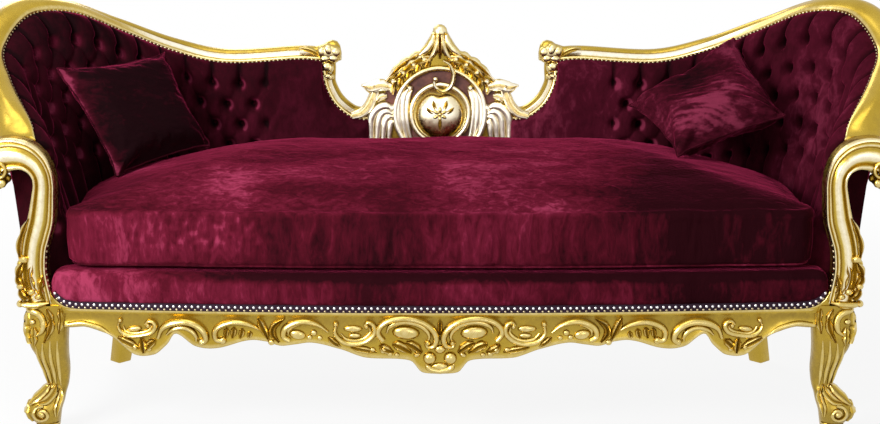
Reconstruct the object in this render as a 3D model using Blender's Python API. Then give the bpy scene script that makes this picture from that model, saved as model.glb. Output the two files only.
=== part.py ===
"""Baroque settee: gilded carved frame, tufted velvet back and wings, loose seat cushion and two pillows.

Metres, +Z up, the front faces -Y. The origin is on the floor under the middle of the settee.
The right half is worked out, and the left half is its mirror image.
"""

import math

import bmesh
import bpy
from mathutils import Matrix, Vector

# Clearance between pieces that touch
FIT = 0.0003

# Seat frame
SIDE_HALF = 0.925  # middle of the settee to the middle of a front leg, and to the foot of a wing
SEAT_DEEP = 0.680  # front face of the front legs' blocks to the inner face of the back frame
BACK_Y = 0.310  # inner face of the back frame at the seat
RAIL_TOP = 0.318
RAIL_DEEP = 0.066  # height of the plain side and rear rails
RAIL_OUT = 0.046  # how far the plain rails reach outside the foot of the back
RAIL_IN = 0.010  # and inside it
APRON_THICK = 0.040
APRON_SET_BACK = 0.002  # the carved front rail lies this far behind the legs' faces
APRON_BOW = 0.042  # how far the front rail swells forward at its middle
TENON_LONG = 0.028
TENON_THICK = 0.014
TENON_SHOULDER = 0.014  # left above and below each tenon
BLOCK_LEG = 0.040  # leg of a triangular corner block
BRACE_X = 0.31
BRACE_WIDE = 0.042

# Legs and arms
LEG_BLOCK_WIDE = 0.090
LEG_BLOCK_DEEP = 0.070
REAR_LEG_HALF = 0.034
REAR_LEG_RAKE = 0.040  # how far a rear foot stands outside its block
REAR_FOOT_HALF = 0.021
POST_DEEP = 0.068
POST_DOWEL = 0.011
POST_DOWEL_AHEAD = 0.012  # the dowel stands in front of the side rail's tenon
POST_DOWEL_LONG = 0.022

# Back and wings: the upholstery's upper edge and what it stands on
CENTRE_HALF = 0.186  # half the width of the carved centre panel
DIP_LOW = 0.641  # upper edge beside the centre panel
KNOB_X = 0.311  # where the top rail starts, over the dip's upright
MID_TOP = 0.793  # upper edge at the knob
EAR_OUT = 0.157  # how far an ear stands outside the middle of the front leg
EAR_TOP = 0.955
WING_FOOT = 0.700  # upper edge where it meets the arm
BACK_LEAN = 0.109  # how far the back goes backward for each metre up
FRAME_IN = 0.0021  # frame members lie between these depths behind the padding
FRAME_OUT = 0.0400
HESSIAN_THICK = 0.0015
COVER_THICK = 0.006
RAIL_ROUND_WIDE = 0.068  # top rail, front to back
RAIL_ROUND_HIGH = 0.031
WING_RAIL_WIDE = 0.086  # the wing rail at the arm, where it is widest
WING_RAIL_HIGH = 0.044
DIP_RAIL_HIGH = 0.027
KNOB_REACH = 0.050  # the knob stands this far past the dip's upright
KNOB_HIGH = 0.052

# Padding
TUFT_PITCH = 0.071  # button to button along a row
TUFT_ROWS = 9  # rows of buttons and hills from the seat to the upper edge
TUFT_FROM = 0.45  # the padding is plain nearer the middle than this
PAD_EDGE = 0.016
PAD_FOOT = 0.040
PAD_PLAIN = 0.050
PAD_HILL = 0.066
PAD_BUTTON = 0.036
PAD_LIFT = 0.014  # the padding starts this far above the rails

# Seat
WEB_THICK = 0.003
WEB_WIDE = 0.050
WEB_LONG_STRAPS = 9
WEB_CROSS_STRAPS = 4
WEB_LAP = 0.005
DUST_THICK = 0.0015
DECK_TOP = 0.404
DECK_INSET = 0.064  # deck edge inside the foot of the back
CUSHION_INSET = 0.068
CUSHION_SET_BACK = 0.010  # cushion's front behind the front rail's face
CUSHION_BOX = 0.131  # height of the cushion's side band
CUSHION_CROWN = 0.102
CUSHION_RIDGE_Y = 0.055  # the crown is highest along this line
CUSHION_RIDGE = 0.40  # how far out the crown stays high, as a share of the half width
CUSHION_CORNER = 0.055
NAIL_BAND_HIGH = 0.010
NAIL_BAND_THICK = 0.003

# Pillows
PILLOW_SIDE = 0.305
PILLOW_THICK = 0.100
PILLOW_PULL = 0.055  # how far each side draws in between its corners, as a share of the half side

# Worked out from the sizes above
FRONT_Y = BACK_Y - SEAT_DEEP
EAR_HALF = SIDE_HALF + EAR_OUT
SHELL_BASE = RAIL_TOP + FIT
WING_FRONT_Y = FRONT_Y + LEG_BLOCK_DEEP + FIT
RAIL_HALF = SIDE_HALF - LEG_BLOCK_WIDE / 2 - FIT
LEG_TOP = RAIL_TOP  # seam between a front leg and its arm post
RAIL_LOW = RAIL_TOP - RAIL_DEEP
TENON_LOW = RAIL_LOW + TENON_SHOULDER
TENON_HIGH = RAIL_TOP - TENON_SHOULDER
FRAME_MID = (FRAME_IN + FRAME_OUT) / 2
COVER_IN = FRAME_OUT + 3 * FIT
COVER_OUT = COVER_IN + COVER_THICK
RAIL_ROUND_MID = COVER_OUT + 0.004 - RAIL_ROUND_WIDE / 2


# Materials

def material(name, colour, roughness, metallic=0.0):
    made = bpy.data.materials.new(name)
    made.use_nodes = True
    shader = made.node_tree.nodes["Principled BSDF"]
    shader.inputs["Base Color"].default_value = (*colour, 1.0)
    shader.inputs["Roughness"].default_value = roughness
    shader.inputs["Metallic"].default_value = metallic
    return made


def make_materials():
    return {
        "gold": material("gold_leaf", (0.72, 0.50, 0.12), 0.32, 0.85),
        "beech": material("beech", (0.56, 0.39, 0.24), 0.6),
        "velvet": material("burgundy_velvet", (0.19, 0.012, 0.045), 0.75),
        "hessian": material("hessian", (0.45, 0.33, 0.2), 0.95),
        "web": material("jute_webbing", (0.5, 0.42, 0.3), 0.9),
        "cambric": material("black_cambric", (0.02, 0.02, 0.02), 0.95),
        "nickel": material("nickel_nails", (0.75, 0.73, 0.72), 0.25, 1.0),
    }


# Mesh helpers

def finish(name, bm, finish_material, smooth=True):
    """Turns a bmesh into a named object whose faces point outwards."""
    bmesh.ops.recalc_face_normals(bm, faces=bm.faces)
    mesh = bpy.data.meshes.new(name)
    bm.to_mesh(mesh)
    bm.free()
    if smooth:
        mesh.shade_smooth()
        mesh.set_sharp_from_angle(angle=math.radians(40))
    if finish_material:
        mesh.materials.append(finish_material)
    obj = bpy.data.objects.new(name, mesh)
    bpy.context.scene.collection.objects.link(obj)
    return obj


def loft(name, rings, finish_material, smooth=True):
    """A closed solid through rings of points, each ring with the same count, capped at both ends."""
    bm = bmesh.new()
    loops = [[bm.verts.new(p) for p in ring] for ring in rings]
    count = len(loops[0])
    for near, far in zip(loops, loops[1:]):
        for i in range(count):
            j = (i + 1) % count
            bm.faces.new((near[i], near[j], far[j], far[i]))
    bm.faces.new(loops[0])
    bm.faces.new(loops[-1])
    return finish(name, bm, finish_material, smooth)


def slab(name, front, back, finish_material, crease=None):
    """A closed solid between two grids of points with the same rows and columns, cut alike into triangles.

    crease says at which corners of the front grid the cuts meet, as where buttons pull folds toward them.
    """
    bm = bmesh.new()
    grids = [[[bm.verts.new(p) for p in row] for row in grid] for grid in (front, back)]
    rows, columns = len(front), len(front[0])
    for grid in grids:
        for r in range(rows - 1):
            for c in range(columns - 1):
                a, b = grid[r][c], grid[r][c + 1]
                d, e = grid[r + 1][c], grid[r + 1][c + 1]
                if grid is grids[0] and crease and crease(r, c + 1):
                    bm.faces.new((a, b, d))
                    bm.faces.new((b, e, d))
                else:
                    bm.faces.new((a, b, e))
                    bm.faces.new((a, e, d))
    near, far = grids
    border = [(0, c) for c in range(columns)] + [(r, columns - 1) for r in range(1, rows)]
    border += [(rows - 1, c) for c in range(columns - 2, -1, -1)]
    border += [(r, 0) for r in range(rows - 2, 0, -1)]
    for (r, c), (s, d) in zip(border, border[1:] + border[:1]):
        bm.faces.new((near[r][c], near[s][d], far[s][d], far[r][c]))
    return finish(name, bm, finish_material)


def mirrored(points, side):
    return [Vector((side * p[0], p[1], p[2])) for p in points]


def cut(obj, cutter):
    """Takes the cutter out of obj, and hides the cutter."""
    cutter.hide_render = True
    cutter.display_type = "WIRE"
    boolean = obj.modifiers.new("cut_" + cutter.name, "BOOLEAN")
    boolean.operation = "DIFFERENCE"
    boolean.object = cutter


def join(obj, other):
    """Fuses the other shape into obj."""
    other.hide_render = True
    other.display_type = "WIRE"
    boolean = obj.modifiers.new("join_" + other.name, "BOOLEAN")
    boolean.operation = "UNION"
    boolean.object = other


def oval(centre, across, along, half_across, half_along, sides, squareness=2.0):
    """A ring of points; squareness 2 is an ellipse, and larger numbers are nearer a rectangle."""
    ring = []
    for i in range(sides):
        angle = 2 * math.pi * (i + 0.5) / sides
        c, s = math.cos(angle), math.sin(angle)
        x = math.copysign(abs(c) ** (2 / squareness), c) * half_across
        y = math.copysign(abs(s) ** (2 / squareness), s) * half_along
        ring.append(centre + across * x + along * y)
    return ring


def rectangle(origin, across, up, low, high, bottom, top):
    """Four corners: from low to high along across, and from bottom to top along up."""
    corners = ((low, bottom), (high, bottom), (high, top), (low, top))
    return [origin + across * a + up * u for a, u in corners]


def through(points, t):
    """A smooth curve through the points; t runs from 0 to the last point's number."""
    i = max(0, min(int(t), len(points) - 2))
    f = t - i
    p = [Vector(points[max(0, min(n, len(points) - 1))]) for n in range(i - 1, i + 3)]
    if i == 0:
        p[0] = p[1] * 2 - p[2]
    if i == len(points) - 2:
        p[3] = p[2] * 2 - p[1]
    ahead, bend = p[2] - p[0], p[0] * 2 - p[1] * 5 + p[2] * 4 - p[3]
    twist = p[1] * 3 - p[0] - p[2] * 3 + p[3]
    return (p[1] * 2 + ahead * f + bend * f * f + twist * f ** 3) / 2


UP = Vector((0, 0, 1))
ACROSS = Vector((1, 0, 0))
BACKWARD = Vector((0, 1, 0))


# The shape of the back and wings: an upper edge, and the line that it stands on

def leaning(height):
    """Depth of the back's frame plane at a height, near the middle of the settee."""
    return BACK_Y + (height - SHELL_BASE) * BACK_LEAN


DIP_EDGE = [  # x and height of the upper edge round the dip, from the centre panel to the knob
    (CENTRE_HALF + FIT, DIP_LOW),
    (CENTRE_HALF + 0.020, DIP_LOW - 0.001),
    (CENTRE_HALF + 0.054, DIP_LOW + 0.008),
    (KNOB_X - 0.033, DIP_LOW + 0.040),
    (KNOB_X - 0.010, DIP_LOW + 0.082),
    (KNOB_X - 0.002, DIP_LOW + 0.117),
    (KNOB_X, MID_TOP - FIT),
]
ROUND_EDGE = [  # the upper edge from the knob, over the ear, to the arm
    (KNOB_X, leaning(MID_TOP), MID_TOP),
    (KNOB_X + 0.060, leaning(MID_TOP), MID_TOP + 0.005),
    (KNOB_X + 0.255, leaning(MID_TOP), MID_TOP - 0.004),
    (EAR_HALF - 0.378, BACK_Y + 0.026, MID_TOP + 0.031),
    (EAR_HALF - 0.252, BACK_Y - 0.060, EAR_TOP - 0.067),
    (EAR_HALF - 0.136, BACK_Y - 0.165, EAR_TOP - 0.006),
    (EAR_HALF - 0.043, BACK_Y - 0.250, EAR_TOP - 0.007),
    (EAR_HALF, BACK_Y - 0.360, EAR_TOP - 0.075),
    (EAR_HALF - 0.031, WING_FRONT_Y + 0.160, EAR_TOP - 0.140),
    (SIDE_HALF + 0.064, WING_FRONT_Y + 0.060, WING_FOOT + 0.035),
    (SIDE_HALF + 0.042, WING_FRONT_Y, WING_FOOT),
]
ROUND_FOOT = [  # the line below it on the seat frame
    (KNOB_X, BACK_Y, SHELL_BASE),
    (KNOB_X + 0.055, BACK_Y, SHELL_BASE),
    (KNOB_X + 0.235, BACK_Y, SHELL_BASE),
    (SIDE_HALF - 0.258, BACK_Y - 0.012, SHELL_BASE),
    (SIDE_HALF - 0.150, BACK_Y - 0.064, SHELL_BASE),
    (SIDE_HALF - 0.065, BACK_Y - 0.155, SHELL_BASE),
    (SIDE_HALF - 0.019, BACK_Y - 0.250, SHELL_BASE),
    (SIDE_HALF - 0.002, BACK_Y - 0.360, SHELL_BASE),
    (SIDE_HALF, WING_FRONT_Y + 0.160, SHELL_BASE),
    (SIDE_HALF, WING_FRONT_Y + 0.060, SHELL_BASE),
    (SIDE_HALF, WING_FRONT_Y, SHELL_BASE),
]
ROUND_END = len(ROUND_EDGE) - 1
DIP_STEPS = len(DIP_EDGE) - 1


def upper_edge(k):
    """Upper edge at k: from -1 at the centre panel to 0 at the knob, and on to ROUND_END at the arm."""
    if k < 0:
        x, z = through([(*p, 0) for p in DIP_EDGE], (k + 1) * DIP_STEPS)[:2]
        return Vector((x, leaning(z), z))
    return through(ROUND_EDGE, k)


def foot_line(k):
    if k < 0:
        return Vector((upper_edge(k).x, BACK_Y, SHELL_BASE))
    return through(ROUND_FOOT, k)


def outward(k):
    """Level direction out of the back or wing at k."""
    if k <= 0:
        return BACKWARD.copy()
    step = 0.02
    way = foot_line(min(ROUND_END, k + step)) - foot_line(max(0.0, k - step))
    return Vector((-way.y, way.x, 0)).normalized()


def shell(k, v, w):
    """Point on the back: v goes from 0 at the seat frame to 1 at the upper edge, w is the depth outward."""
    return foot_line(k).lerp(upper_edge(k), v) + outward(k) * w


def stations(first, last, pitch):
    """Values of k from first to last, evenly spaced along the wall at about the pitch."""
    fine = [first + (last - first) * i / 200 for i in range(201)]
    run = [0.0]
    for a, b in zip(fine, fine[1:]):
        run.append(run[-1] + (shell(b, 0.6, 0) - shell(a, 0.6, 0)).length)
    count = max(1, round(run[-1] / pitch))
    found, at = [], 0
    for n in range(count + 1):
        goal = run[-1] * n / count
        while at < len(run) - 2 and run[at + 1] < goal:
            at += 1
        share = (goal - run[at]) / (run[at + 1] - run[at])
        found.append(fine[at] + (fine[at + 1] - fine[at]) * share)
    return found


DIP_COLUMNS = [-1 + i / 8 for i in range(8)]
ROUND_COLUMNS = stations(0.0, ROUND_END, TUFT_PITCH / 2)
COLUMNS = DIP_COLUMNS + ROUND_COLUMNS
KNOB_COLUMN = len(DIP_COLUMNS)
STILE_COLUMNS = 2
CORNER_COLUMN = min(range(len(COLUMNS)), key=lambda i: abs(COLUMNS[i] - 4.4))
EAR_COLUMN = min(range(len(COLUMNS)), key=lambda i: abs(COLUMNS[i] - 5.0))
FOOT_ROW = -1  # on the seat frame; row 0 is where the padding starts, just above it
LOWER_RAIL_ROW = 2
PAD_ROWS = [0, LOWER_RAIL_ROW] + list(range(4, TUFT_ROWS + 1))
COVER_ROWS = [FOOT_ROW, LOWER_RAIL_ROW, 5, 7, TUFT_ROWS]


def share_of(k, row):
    """How far up the back a row lies at k."""
    if row == FOOT_ROW:
        return 0.0
    if row == 0:
        return PAD_LIFT / (upper_edge(k).z - SHELL_BASE)
    return row / TUFT_ROWS


def part_columns(first, last):
    """The k of columns first to last, with both ends drawn in by half a fit."""
    found = COLUMNS[first:last + 1]
    for end, neighbour in ((0, 1), (-1, -2)):
        gap = (shell(found[end], 0.6, 0) - shell(found[neighbour], 0.6, 0)).length
        found[end] += (found[neighbour] - found[end]) * FIT / gap
    return found


def wall_piece(name, side, columns, rows, inner, outer, finish_material):
    """A piece of the back's wall between two depths."""
    grids = []
    for depth in (inner, outer):
        grids.append([mirrored([shell(k, share_of(k, r), depth) for k in columns], side) for r in rows])
    return slab(name, *grids, finish_material)


# Rounded rails along the upper edge

def edge_frame(k, point_at):
    step = 0.02
    way = (point_at(k + step) - point_at(k - step)).normalized()
    out = outward(k)
    return way, out, way.cross(out).normalized()


def to_plane(ring, way, point, normal):
    """The ring slid along way until it lies in a plane."""
    return [p + way * ((point - p).dot(normal) / way.dot(normal)) for p in ring]


def edge_rail(name, side, rings, finish_material):
    return loft(name, [mirrored(ring, side) for ring in rings], finish_material)


def rail_ring(k, point_at, wide, high, middle, sides=12, squareness=2.6):
    """The rail's section at k: it lies on the upper edge and is centred at the depth middle."""
    way, out, away = edge_frame(k, point_at)
    centre = point_at(k) + out * middle + away * (2 * FIT + high / 2)
    return oval(centre, out, away, wide / 2, high / 2, sides, squareness), way


def extended_edge(k):
    """The upper edge, continued level past the knob."""
    if k < 0:
        return upper_edge(0) + ACROSS * (k * 0.2)
    if k > ROUND_END:
        return upper_edge(ROUND_END) * 2 - upper_edge(2 * ROUND_END - k)
    return upper_edge(k)


def dip_edge(k):
    k = max(-0.999, min(-0.001, k))
    return upper_edge(k)


def top_rail(side, gold):
    """From the knob over the dip's upright, along the back, to the ear."""
    rings = []
    knob = [(-1.0, 0.30), (-0.9, 0.72), (-0.6, 1.0), (-0.25, 0.94), (0.0, 0.72)]
    for share, fat in knob:
        high = KNOB_HIGH * fat
        k = share * KNOB_REACH / 0.2
        wide = RAIL_ROUND_WIDE * min(1, fat + 0.1)
        rings.append(rail_ring(k, extended_edge, wide, high, RAIL_ROUND_MID)[0])
    for k in COLUMNS[KNOB_COLUMN + 1:EAR_COLUMN + 1]:
        rings.append(rail_ring(k, extended_edge, RAIL_ROUND_WIDE, RAIL_ROUND_HIGH, RAIL_ROUND_MID)[0])
    return edge_rail(f"top_rail_{side_name(side)}", side, rings, gold)


def wing_rail(side, gold):
    """From the ear down the front edge of the wing to the arm."""
    ks = COLUMNS[EAR_COLUMN:]
    ks[0] += FIT / (shell(ks[1], 1, 0) - shell(ks[0], 1, 0)).length * (ks[1] - ks[0])
    rings = []
    for k in ks:
        share = (k - ks[0]) / (ks[-1] - ks[0])
        wide = RAIL_ROUND_WIDE + (WING_RAIL_WIDE - RAIL_ROUND_WIDE) * share
        high = RAIL_ROUND_HIGH + (WING_RAIL_HIGH - RAIL_ROUND_HIGH) * share
        ring, way = rail_ring(k, extended_edge, wide, high, RAIL_ROUND_MID + (wide - RAIL_ROUND_WIDE) / 2)
        rings.append(ring)
    rings[-1] = to_plane(rings[-1], way, Vector((0, WING_FRONT_Y, 0)), BACKWARD)
    rings = [r for r in rings[:-1] if min(p.y for p in r) > WING_FRONT_Y] + rings[-1:]
    return edge_rail(f"wing_rail_{side_name(side)}", side, rings, gold)


def dip_rail(side, gold):
    """The hook-shaped rail from the centre panel up to the underside of the knob."""
    rings = []
    ks = DIP_COLUMNS + [-0.002]
    for k in ks:
        ring, way = rail_ring(k, dip_edge, RAIL_ROUND_WIDE, DIP_RAIL_HIGH, RAIL_ROUND_MID)
        if k == ks[0]:
            ring = to_plane(ring, way, Vector((CENTRE_HALF + FIT, 0, 0)), ACROSS)
        if k == ks[-1]:
            ring = to_plane(ring, way, Vector((0, 0, MID_TOP)), UP)
        rings.append(ring)
    return edge_rail(f"dip_rail_{side_name(side)}", side, rings, gold)


# Legs, arm posts and seat rails

def side_name(side):
    return "right" if side > 0 else "left"


def tenon_rings(origin, way, across, low, high, grow=0.0):
    """Two small rectangles: a tenon that leaves a rail's end at origin along way."""
    mid = (low + high) / 2
    half = TENON_THICK / 2 + grow
    rings = []
    for reach in (0.0, TENON_LONG + grow):
        start = origin + way * reach
        low_edge, high_edge = TENON_LOW - grow, TENON_HIGH + grow
        rings.append(rectangle(start, across, UP, mid - half, mid + half, low_edge, high_edge))
    return rings


def mortise(leg, name, side, origin, way, across, low, high):
    rings = tenon_rings(origin - way * 0.01, way, across, low, high, FIT)
    rings[1] = [p + way * 0.01 for p in rings[1]]
    cut(leg, loft(name, [mirrored(r, side) for r in rings], None, smooth=False))


APRON_FRONT = FRONT_Y + APRON_SET_BACK


def apron_face(x):
    """Depth of the carved front rail's face at x."""
    return APRON_FRONT - APRON_BOW * (1 - (x / RAIL_HALF) ** 2)


FRONT_LEG_STATIONS = [  # height, shift outward, shift forward, half width, half depth, squareness
    (0.000, 0.010, 0.012, 0.0215, 0.024, 2.5),
    (0.021, 0.010, 0.012, 0.026, 0.028, 2.5),
    (0.043, 0.016, 0.018, 0.036, 0.036, 2.5),
    (0.061, 0.018, 0.019, 0.041, 0.040, 2.5),
    (0.081, 0.012, 0.012, 0.041, 0.039, 2.5),
    (0.098, 0.003, 0.002, 0.035, 0.034, 2.5),
    (0.118, -0.011, -0.009, 0.026, 0.028, 2.5),
    (0.152, -0.009, -0.010, 0.032, 0.032, 2.5),
    (0.188, -0.003, -0.001, 0.038, 0.037, 3.0),
    (0.219, 0.003, 0.006, 0.045, 0.041, 4.0),
    (RAIL_LOW - 0.004, 0.000, 0.000, LEG_BLOCK_WIDE / 2, LEG_BLOCK_DEEP / 2, 9.0),
    (LEG_TOP, 0.000, 0.000, LEG_BLOCK_WIDE / 2, LEG_BLOCK_DEEP / 2, 9.0),
]
LEG_Y = FRONT_Y + LEG_BLOCK_DEEP / 2
APRON_MID = APRON_FRONT + APRON_THICK / 2
APRON_TENON = APRON_MID - TENON_THICK / 2, APRON_MID + TENON_THICK / 2
SIDE_RAIL_LOW, SIDE_RAIL_HIGH = -RAIL_IN, RAIL_OUT


def front_leg(side, gold):
    """Cabriole leg: square block at the seat, swelling knee, thin ankle and scrolled foot."""
    rings = []
    for z, out, ahead, half_x, half_y, squareness in FRONT_LEG_STATIONS:
        centre = Vector((SIDE_HALF + out, LEG_Y - ahead, z))
        rings.append(mirrored(oval(centre, ACROSS, BACKWARD, half_x, half_y, 16, squareness), side))
    name = f"front_leg_{side_name(side)}"
    leg = loft(name, rings, gold)
    apron_end = Vector((RAIL_HALF, 0, 0))
    mortise(leg, name + "_apron_mortise", side, apron_end, ACROSS, BACKWARD, *APRON_TENON)
    rail_end = Vector((SIDE_HALF, WING_FRONT_Y, 0))
    mortise(leg, name + "_rail_mortise", side, rail_end, -BACKWARD, ACROSS, SIDE_RAIL_LOW, SIDE_RAIL_HIGH)
    dowel = []
    for z in (LEG_TOP - POST_DOWEL_LONG - 2 * FIT, LEG_TOP + 0.01):
        centre = Vector((SIDE_HALF + POST_FOOT_SHIFT, LEG_Y - POST_DOWEL_AHEAD, z))
        dowel.append(oval(centre, ACROSS, BACKWARD, POST_DOWEL + FIT, POST_DOWEL + FIT, 14))
    cut(leg, loft(name + "_dowel_hole", [mirrored(r, side) for r in dowel], None))
    return leg


POST_STATIONS = [  # shift outward, height, half thickness: the S of the arm post and its outward roll
    (0.028, LEG_TOP + 0.050, 0.033),
    (0.031, LEG_TOP + 0.088, 0.0315),
    (0.027, LEG_TOP + 0.136, 0.031),
    (0.018, LEG_TOP + 0.172, 0.032),
    (0.008, LEG_TOP + 0.208, 0.0315),
    (0.001, WING_FOOT - 0.119, 0.0275),
    (-0.001, WING_FOOT - 0.091, 0.026),
    (0.003, WING_FOOT - 0.067, 0.0265),
    (0.017, WING_FOOT - 0.043, 0.030),
    (0.041, WING_FOOT - 0.026, 0.035),
    (0.072, WING_FOOT - 0.021, 0.039),
    (0.101, WING_FOOT - 0.028, 0.040),
    (0.123, WING_FOOT - 0.048, 0.034),
    (0.128, WING_FOOT - 0.070, 0.024),
    (0.116, WING_FOOT - 0.085, 0.015),
]
POST_FOOT_SHIFT = 0.019
POST_FOOT_HALF = 0.034


def arm_post(side, gold):
    """Upright from the front leg that rolls outward at the top as the arm."""
    centres = [Vector((SIDE_HALF + out, LEG_Y, z)) for out, z, _ in POST_STATIONS]
    foot = LEG_TOP + FIT
    rings = []
    middle = SIDE_HALF + POST_FOOT_SHIFT
    for z in (LEG_TOP - POST_DOWEL_LONG, foot):
        centre = Vector((middle, LEG_Y - POST_DOWEL_AHEAD, z))
        rings.append(oval(centre, ACROSS, BACKWARD, POST_DOWEL, POST_DOWEL, 14))
    base = Vector((middle, LEG_Y, foot))
    rings.append(oval(base, ACROSS, BACKWARD, POST_FOOT_HALF, POST_DEEP / 2, 14, 3.5))
    for i, centre in enumerate(centres):
        near, far = centres[max(0, i - 1)], centres[min(len(centres) - 1, i + 1)]
        way = (far - near).normalized()
        across = Vector((way.z, 0, -way.x))
        rings.append(oval(centre, across, BACKWARD, POST_STATIONS[i][2], POST_DEEP / 2, 14, 3.5))
    return loft(f"arm_post_{side_name(side)}", [mirrored(r, side) for r in rings], gold)


REAR_LEG_K = 4.4  # place of a rear leg on the corner of the foot line


def rear_leg_axes():
    """Middle of the rear leg's block, its direction along the frame towards the front, and outward."""
    out = outward(REAR_LEG_K)
    along = Vector((out.y, -out.x, 0))
    centre = foot_line(REAR_LEG_K) + out * ((RAIL_OUT - RAIL_IN) / 2)
    return Vector((centre.x, centre.y, 0)), along, out


def rear_leg(side, gold):
    """Square raked leg under the rounded rear corner."""
    centre, along, out = rear_leg_axes()
    half_out = (RAIL_OUT + RAIL_IN) / 2
    stations_down = [
        (0.0, REAR_LEG_RAKE, REAR_FOOT_HALF, REAR_FOOT_HALF),
        (0.11, REAR_LEG_RAKE * 0.3, REAR_FOOT_HALF * 1.12, REAR_FOOT_HALF * 1.12),
        (RAIL_LOW - 0.03, 0.0, REAR_LEG_HALF * 0.92, half_out * 0.95),
        (RAIL_LOW, 0.0, REAR_LEG_HALF, half_out),
        (RAIL_TOP, 0.0, REAR_LEG_HALF, half_out),
    ]
    rings = []
    for z, rake, half_along, half_across in stations_down:
        middle = centre + out * rake + UP * z
        rings.append(mirrored(oval(middle, along, out, half_along, half_across, 12, 12.0), side))
    name = f"rear_leg_{side_name(side)}"
    leg = loft(name, rings, gold)
    tenon_low = -half_out
    for label, way in (("side", along), ("rear", -along)):
        start = centre + way * (REAR_LEG_HALF + FIT)
        mortise(leg, f"{name}_{label}_mortise", side, start, -way, out, tenon_low, half_out)
    return leg


def plain_rail_ring(k, low=RAIL_LOW, high=RAIL_TOP):
    origin = foot_line(k)
    origin.z = 0
    return rectangle(origin, outward(k), UP, -RAIL_IN, RAIL_OUT, low, high)


def rail_end_rings(way_sign):
    """The shoulder and tenon of a rail at the rear leg, the tenon first."""
    centre, along, out = rear_leg_axes()
    half_out = (RAIL_OUT + RAIL_IN) / 2
    way = along * way_sign
    start = centre + way * (REAR_LEG_HALF + FIT)
    shoulder = rectangle(start, out, UP, -half_out, half_out, RAIL_LOW, RAIL_TOP)
    near, far = tenon_rings(start, -way, out, -half_out, half_out)
    return [far, near, shoulder]


def side_rail(side, beech):
    """From the front leg's block back to the rear leg, tenoned into both."""
    leg_reach = REAR_LEG_HALF + 0.012
    first = next(k for k in ROUND_COLUMNS if k > REAR_LEG_K
                 and (foot_line(k) - foot_line(REAR_LEG_K)).length > leg_reach)
    ks = [k for k in ROUND_COLUMNS[::2] if first <= k < ROUND_END - 0.1]
    front = Vector((SIDE_HALF, WING_FRONT_Y, 0))
    shoulder = rectangle(front, ACROSS, UP, -RAIL_IN, RAIL_OUT, RAIL_LOW, RAIL_TOP)
    near, far = tenon_rings(front, -BACKWARD, ACROSS, SIDE_RAIL_LOW, SIDE_RAIL_HIGH)
    rings = rail_end_rings(1) + [plain_rail_ring(k) for k in ks] + [shoulder, near, far]
    return loft(f"side_rail_{side_name(side)}", [mirrored(r, side) for r in rings], beech, smooth=False)


def rear_rail(beech):
    """Across the back from rear leg to rear leg, bent at its ends."""
    leg_reach = REAR_LEG_HALF + 0.012
    ks = [k for k in ROUND_COLUMNS[::2] if k < REAR_LEG_K
          and (foot_line(k) - foot_line(REAR_LEG_K)).length > leg_reach]
    half = rail_end_rings(-1) + [plain_rail_ring(k) for k in reversed(ks)]
    rings = half + [mirrored(ring, -1) for ring in reversed(half)]
    return loft("rear_rail", rings, beech, smooth=False)


APRON_OUTLINE = [  # share of the half length from the middle, and drop below the rail's top
    (0.000, 0.157), (0.050, 0.152), (0.075, 0.126), (0.110, 0.120), (0.200, 0.117), (0.262, 0.098),
    (0.340, 0.082), (0.392, 0.087), (0.427, 0.090), (0.465, 0.080), (0.512, 0.078), (0.597, 0.098),
    (0.655, 0.094), (0.708, 0.064), (0.730, 0.090), (0.765, 0.116), (0.820, 0.117), (0.875, 0.078),
    (0.925, 0.053), (1.000, 0.055),
]
APRON_STEPS = 34  # sections in half the rail
APRON_BEAD = 0.006  # the rounded moulding along the top and the carved edge


def apron_drop(share):
    """Height of the carved rail at a share of its half length."""
    for i, (a, b) in enumerate(zip(APRON_OUTLINE, APRON_OUTLINE[1:])):
        if share <= b[0]:
            return through([(*p, 0) for p in APRON_OUTLINE], i + (share - a[0]) / (b[0] - a[0])).y
    return APRON_OUTLINE[-1][1]


def apron_ring(x):
    """Section of the carved rail: a cove between a bead at its top and one at its carved lower edge."""
    face = apron_face(x)
    low = RAIL_TOP - apron_drop(abs(x) / RAIL_HALF)
    back = face + APRON_THICK
    points = [
        (back, RAIL_TOP), (face + APRON_BEAD, RAIL_TOP), (face, RAIL_TOP - APRON_BEAD),
        (face, RAIL_TOP - 2.4 * APRON_BEAD), (face + APRON_BEAD, RAIL_TOP - 3.4 * APRON_BEAD),
        (face + 0.7 * APRON_BEAD, low + 2.2 * APRON_BEAD), (face, low + APRON_BEAD),
        (face + APRON_BEAD, low), (back, low), (back, (RAIL_TOP + low) / 2),
    ]
    return [Vector((x, y, z)) for y, z in points]


def apron_tenon(side):
    """The tenon as a ring with as many points as the rail's section, at the rail's end and at its tip."""
    low, high = APRON_TENON
    rings = []
    for reach in (0.0, TENON_LONG):
        x = side * (RAIL_HALF + reach)
        corners = [(high, TENON_HIGH), (low, TENON_HIGH), (low, TENON_LOW), (high, TENON_LOW)]
        spread = [corners[0], corners[1], None, None, None, None, None, corners[2], corners[3], None]
        for i in range(2, 7):
            share = (i - 1) / 6
            spread[i] = (low, TENON_HIGH + (TENON_LOW - TENON_HIGH) * share)
        spread[9] = (high, (TENON_LOW + TENON_HIGH) / 2)
        rings.append([Vector((x, y, z)) for y, z in spread])
    return rings


def front_rail(gold):
    """Carved front rail with a shaped lower edge, tenoned into the front legs."""
    xs = [RAIL_HALF * (i / APRON_STEPS - 1) for i in range(2 * APRON_STEPS + 1)]
    left, right = apron_tenon(-1), apron_tenon(1)
    rings = left[::-1] + [apron_ring(x) for x in xs] + right
    return loft("front_rail", rings, gold)


def prism(name, outline, low, high, finish_material):
    """An upright solid over an outline in plan."""
    rings = [[Vector((x, y, z)) for x, y in outline] for z in (low, high)]
    return loft(name, rings, finish_material, smooth=False)


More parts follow.
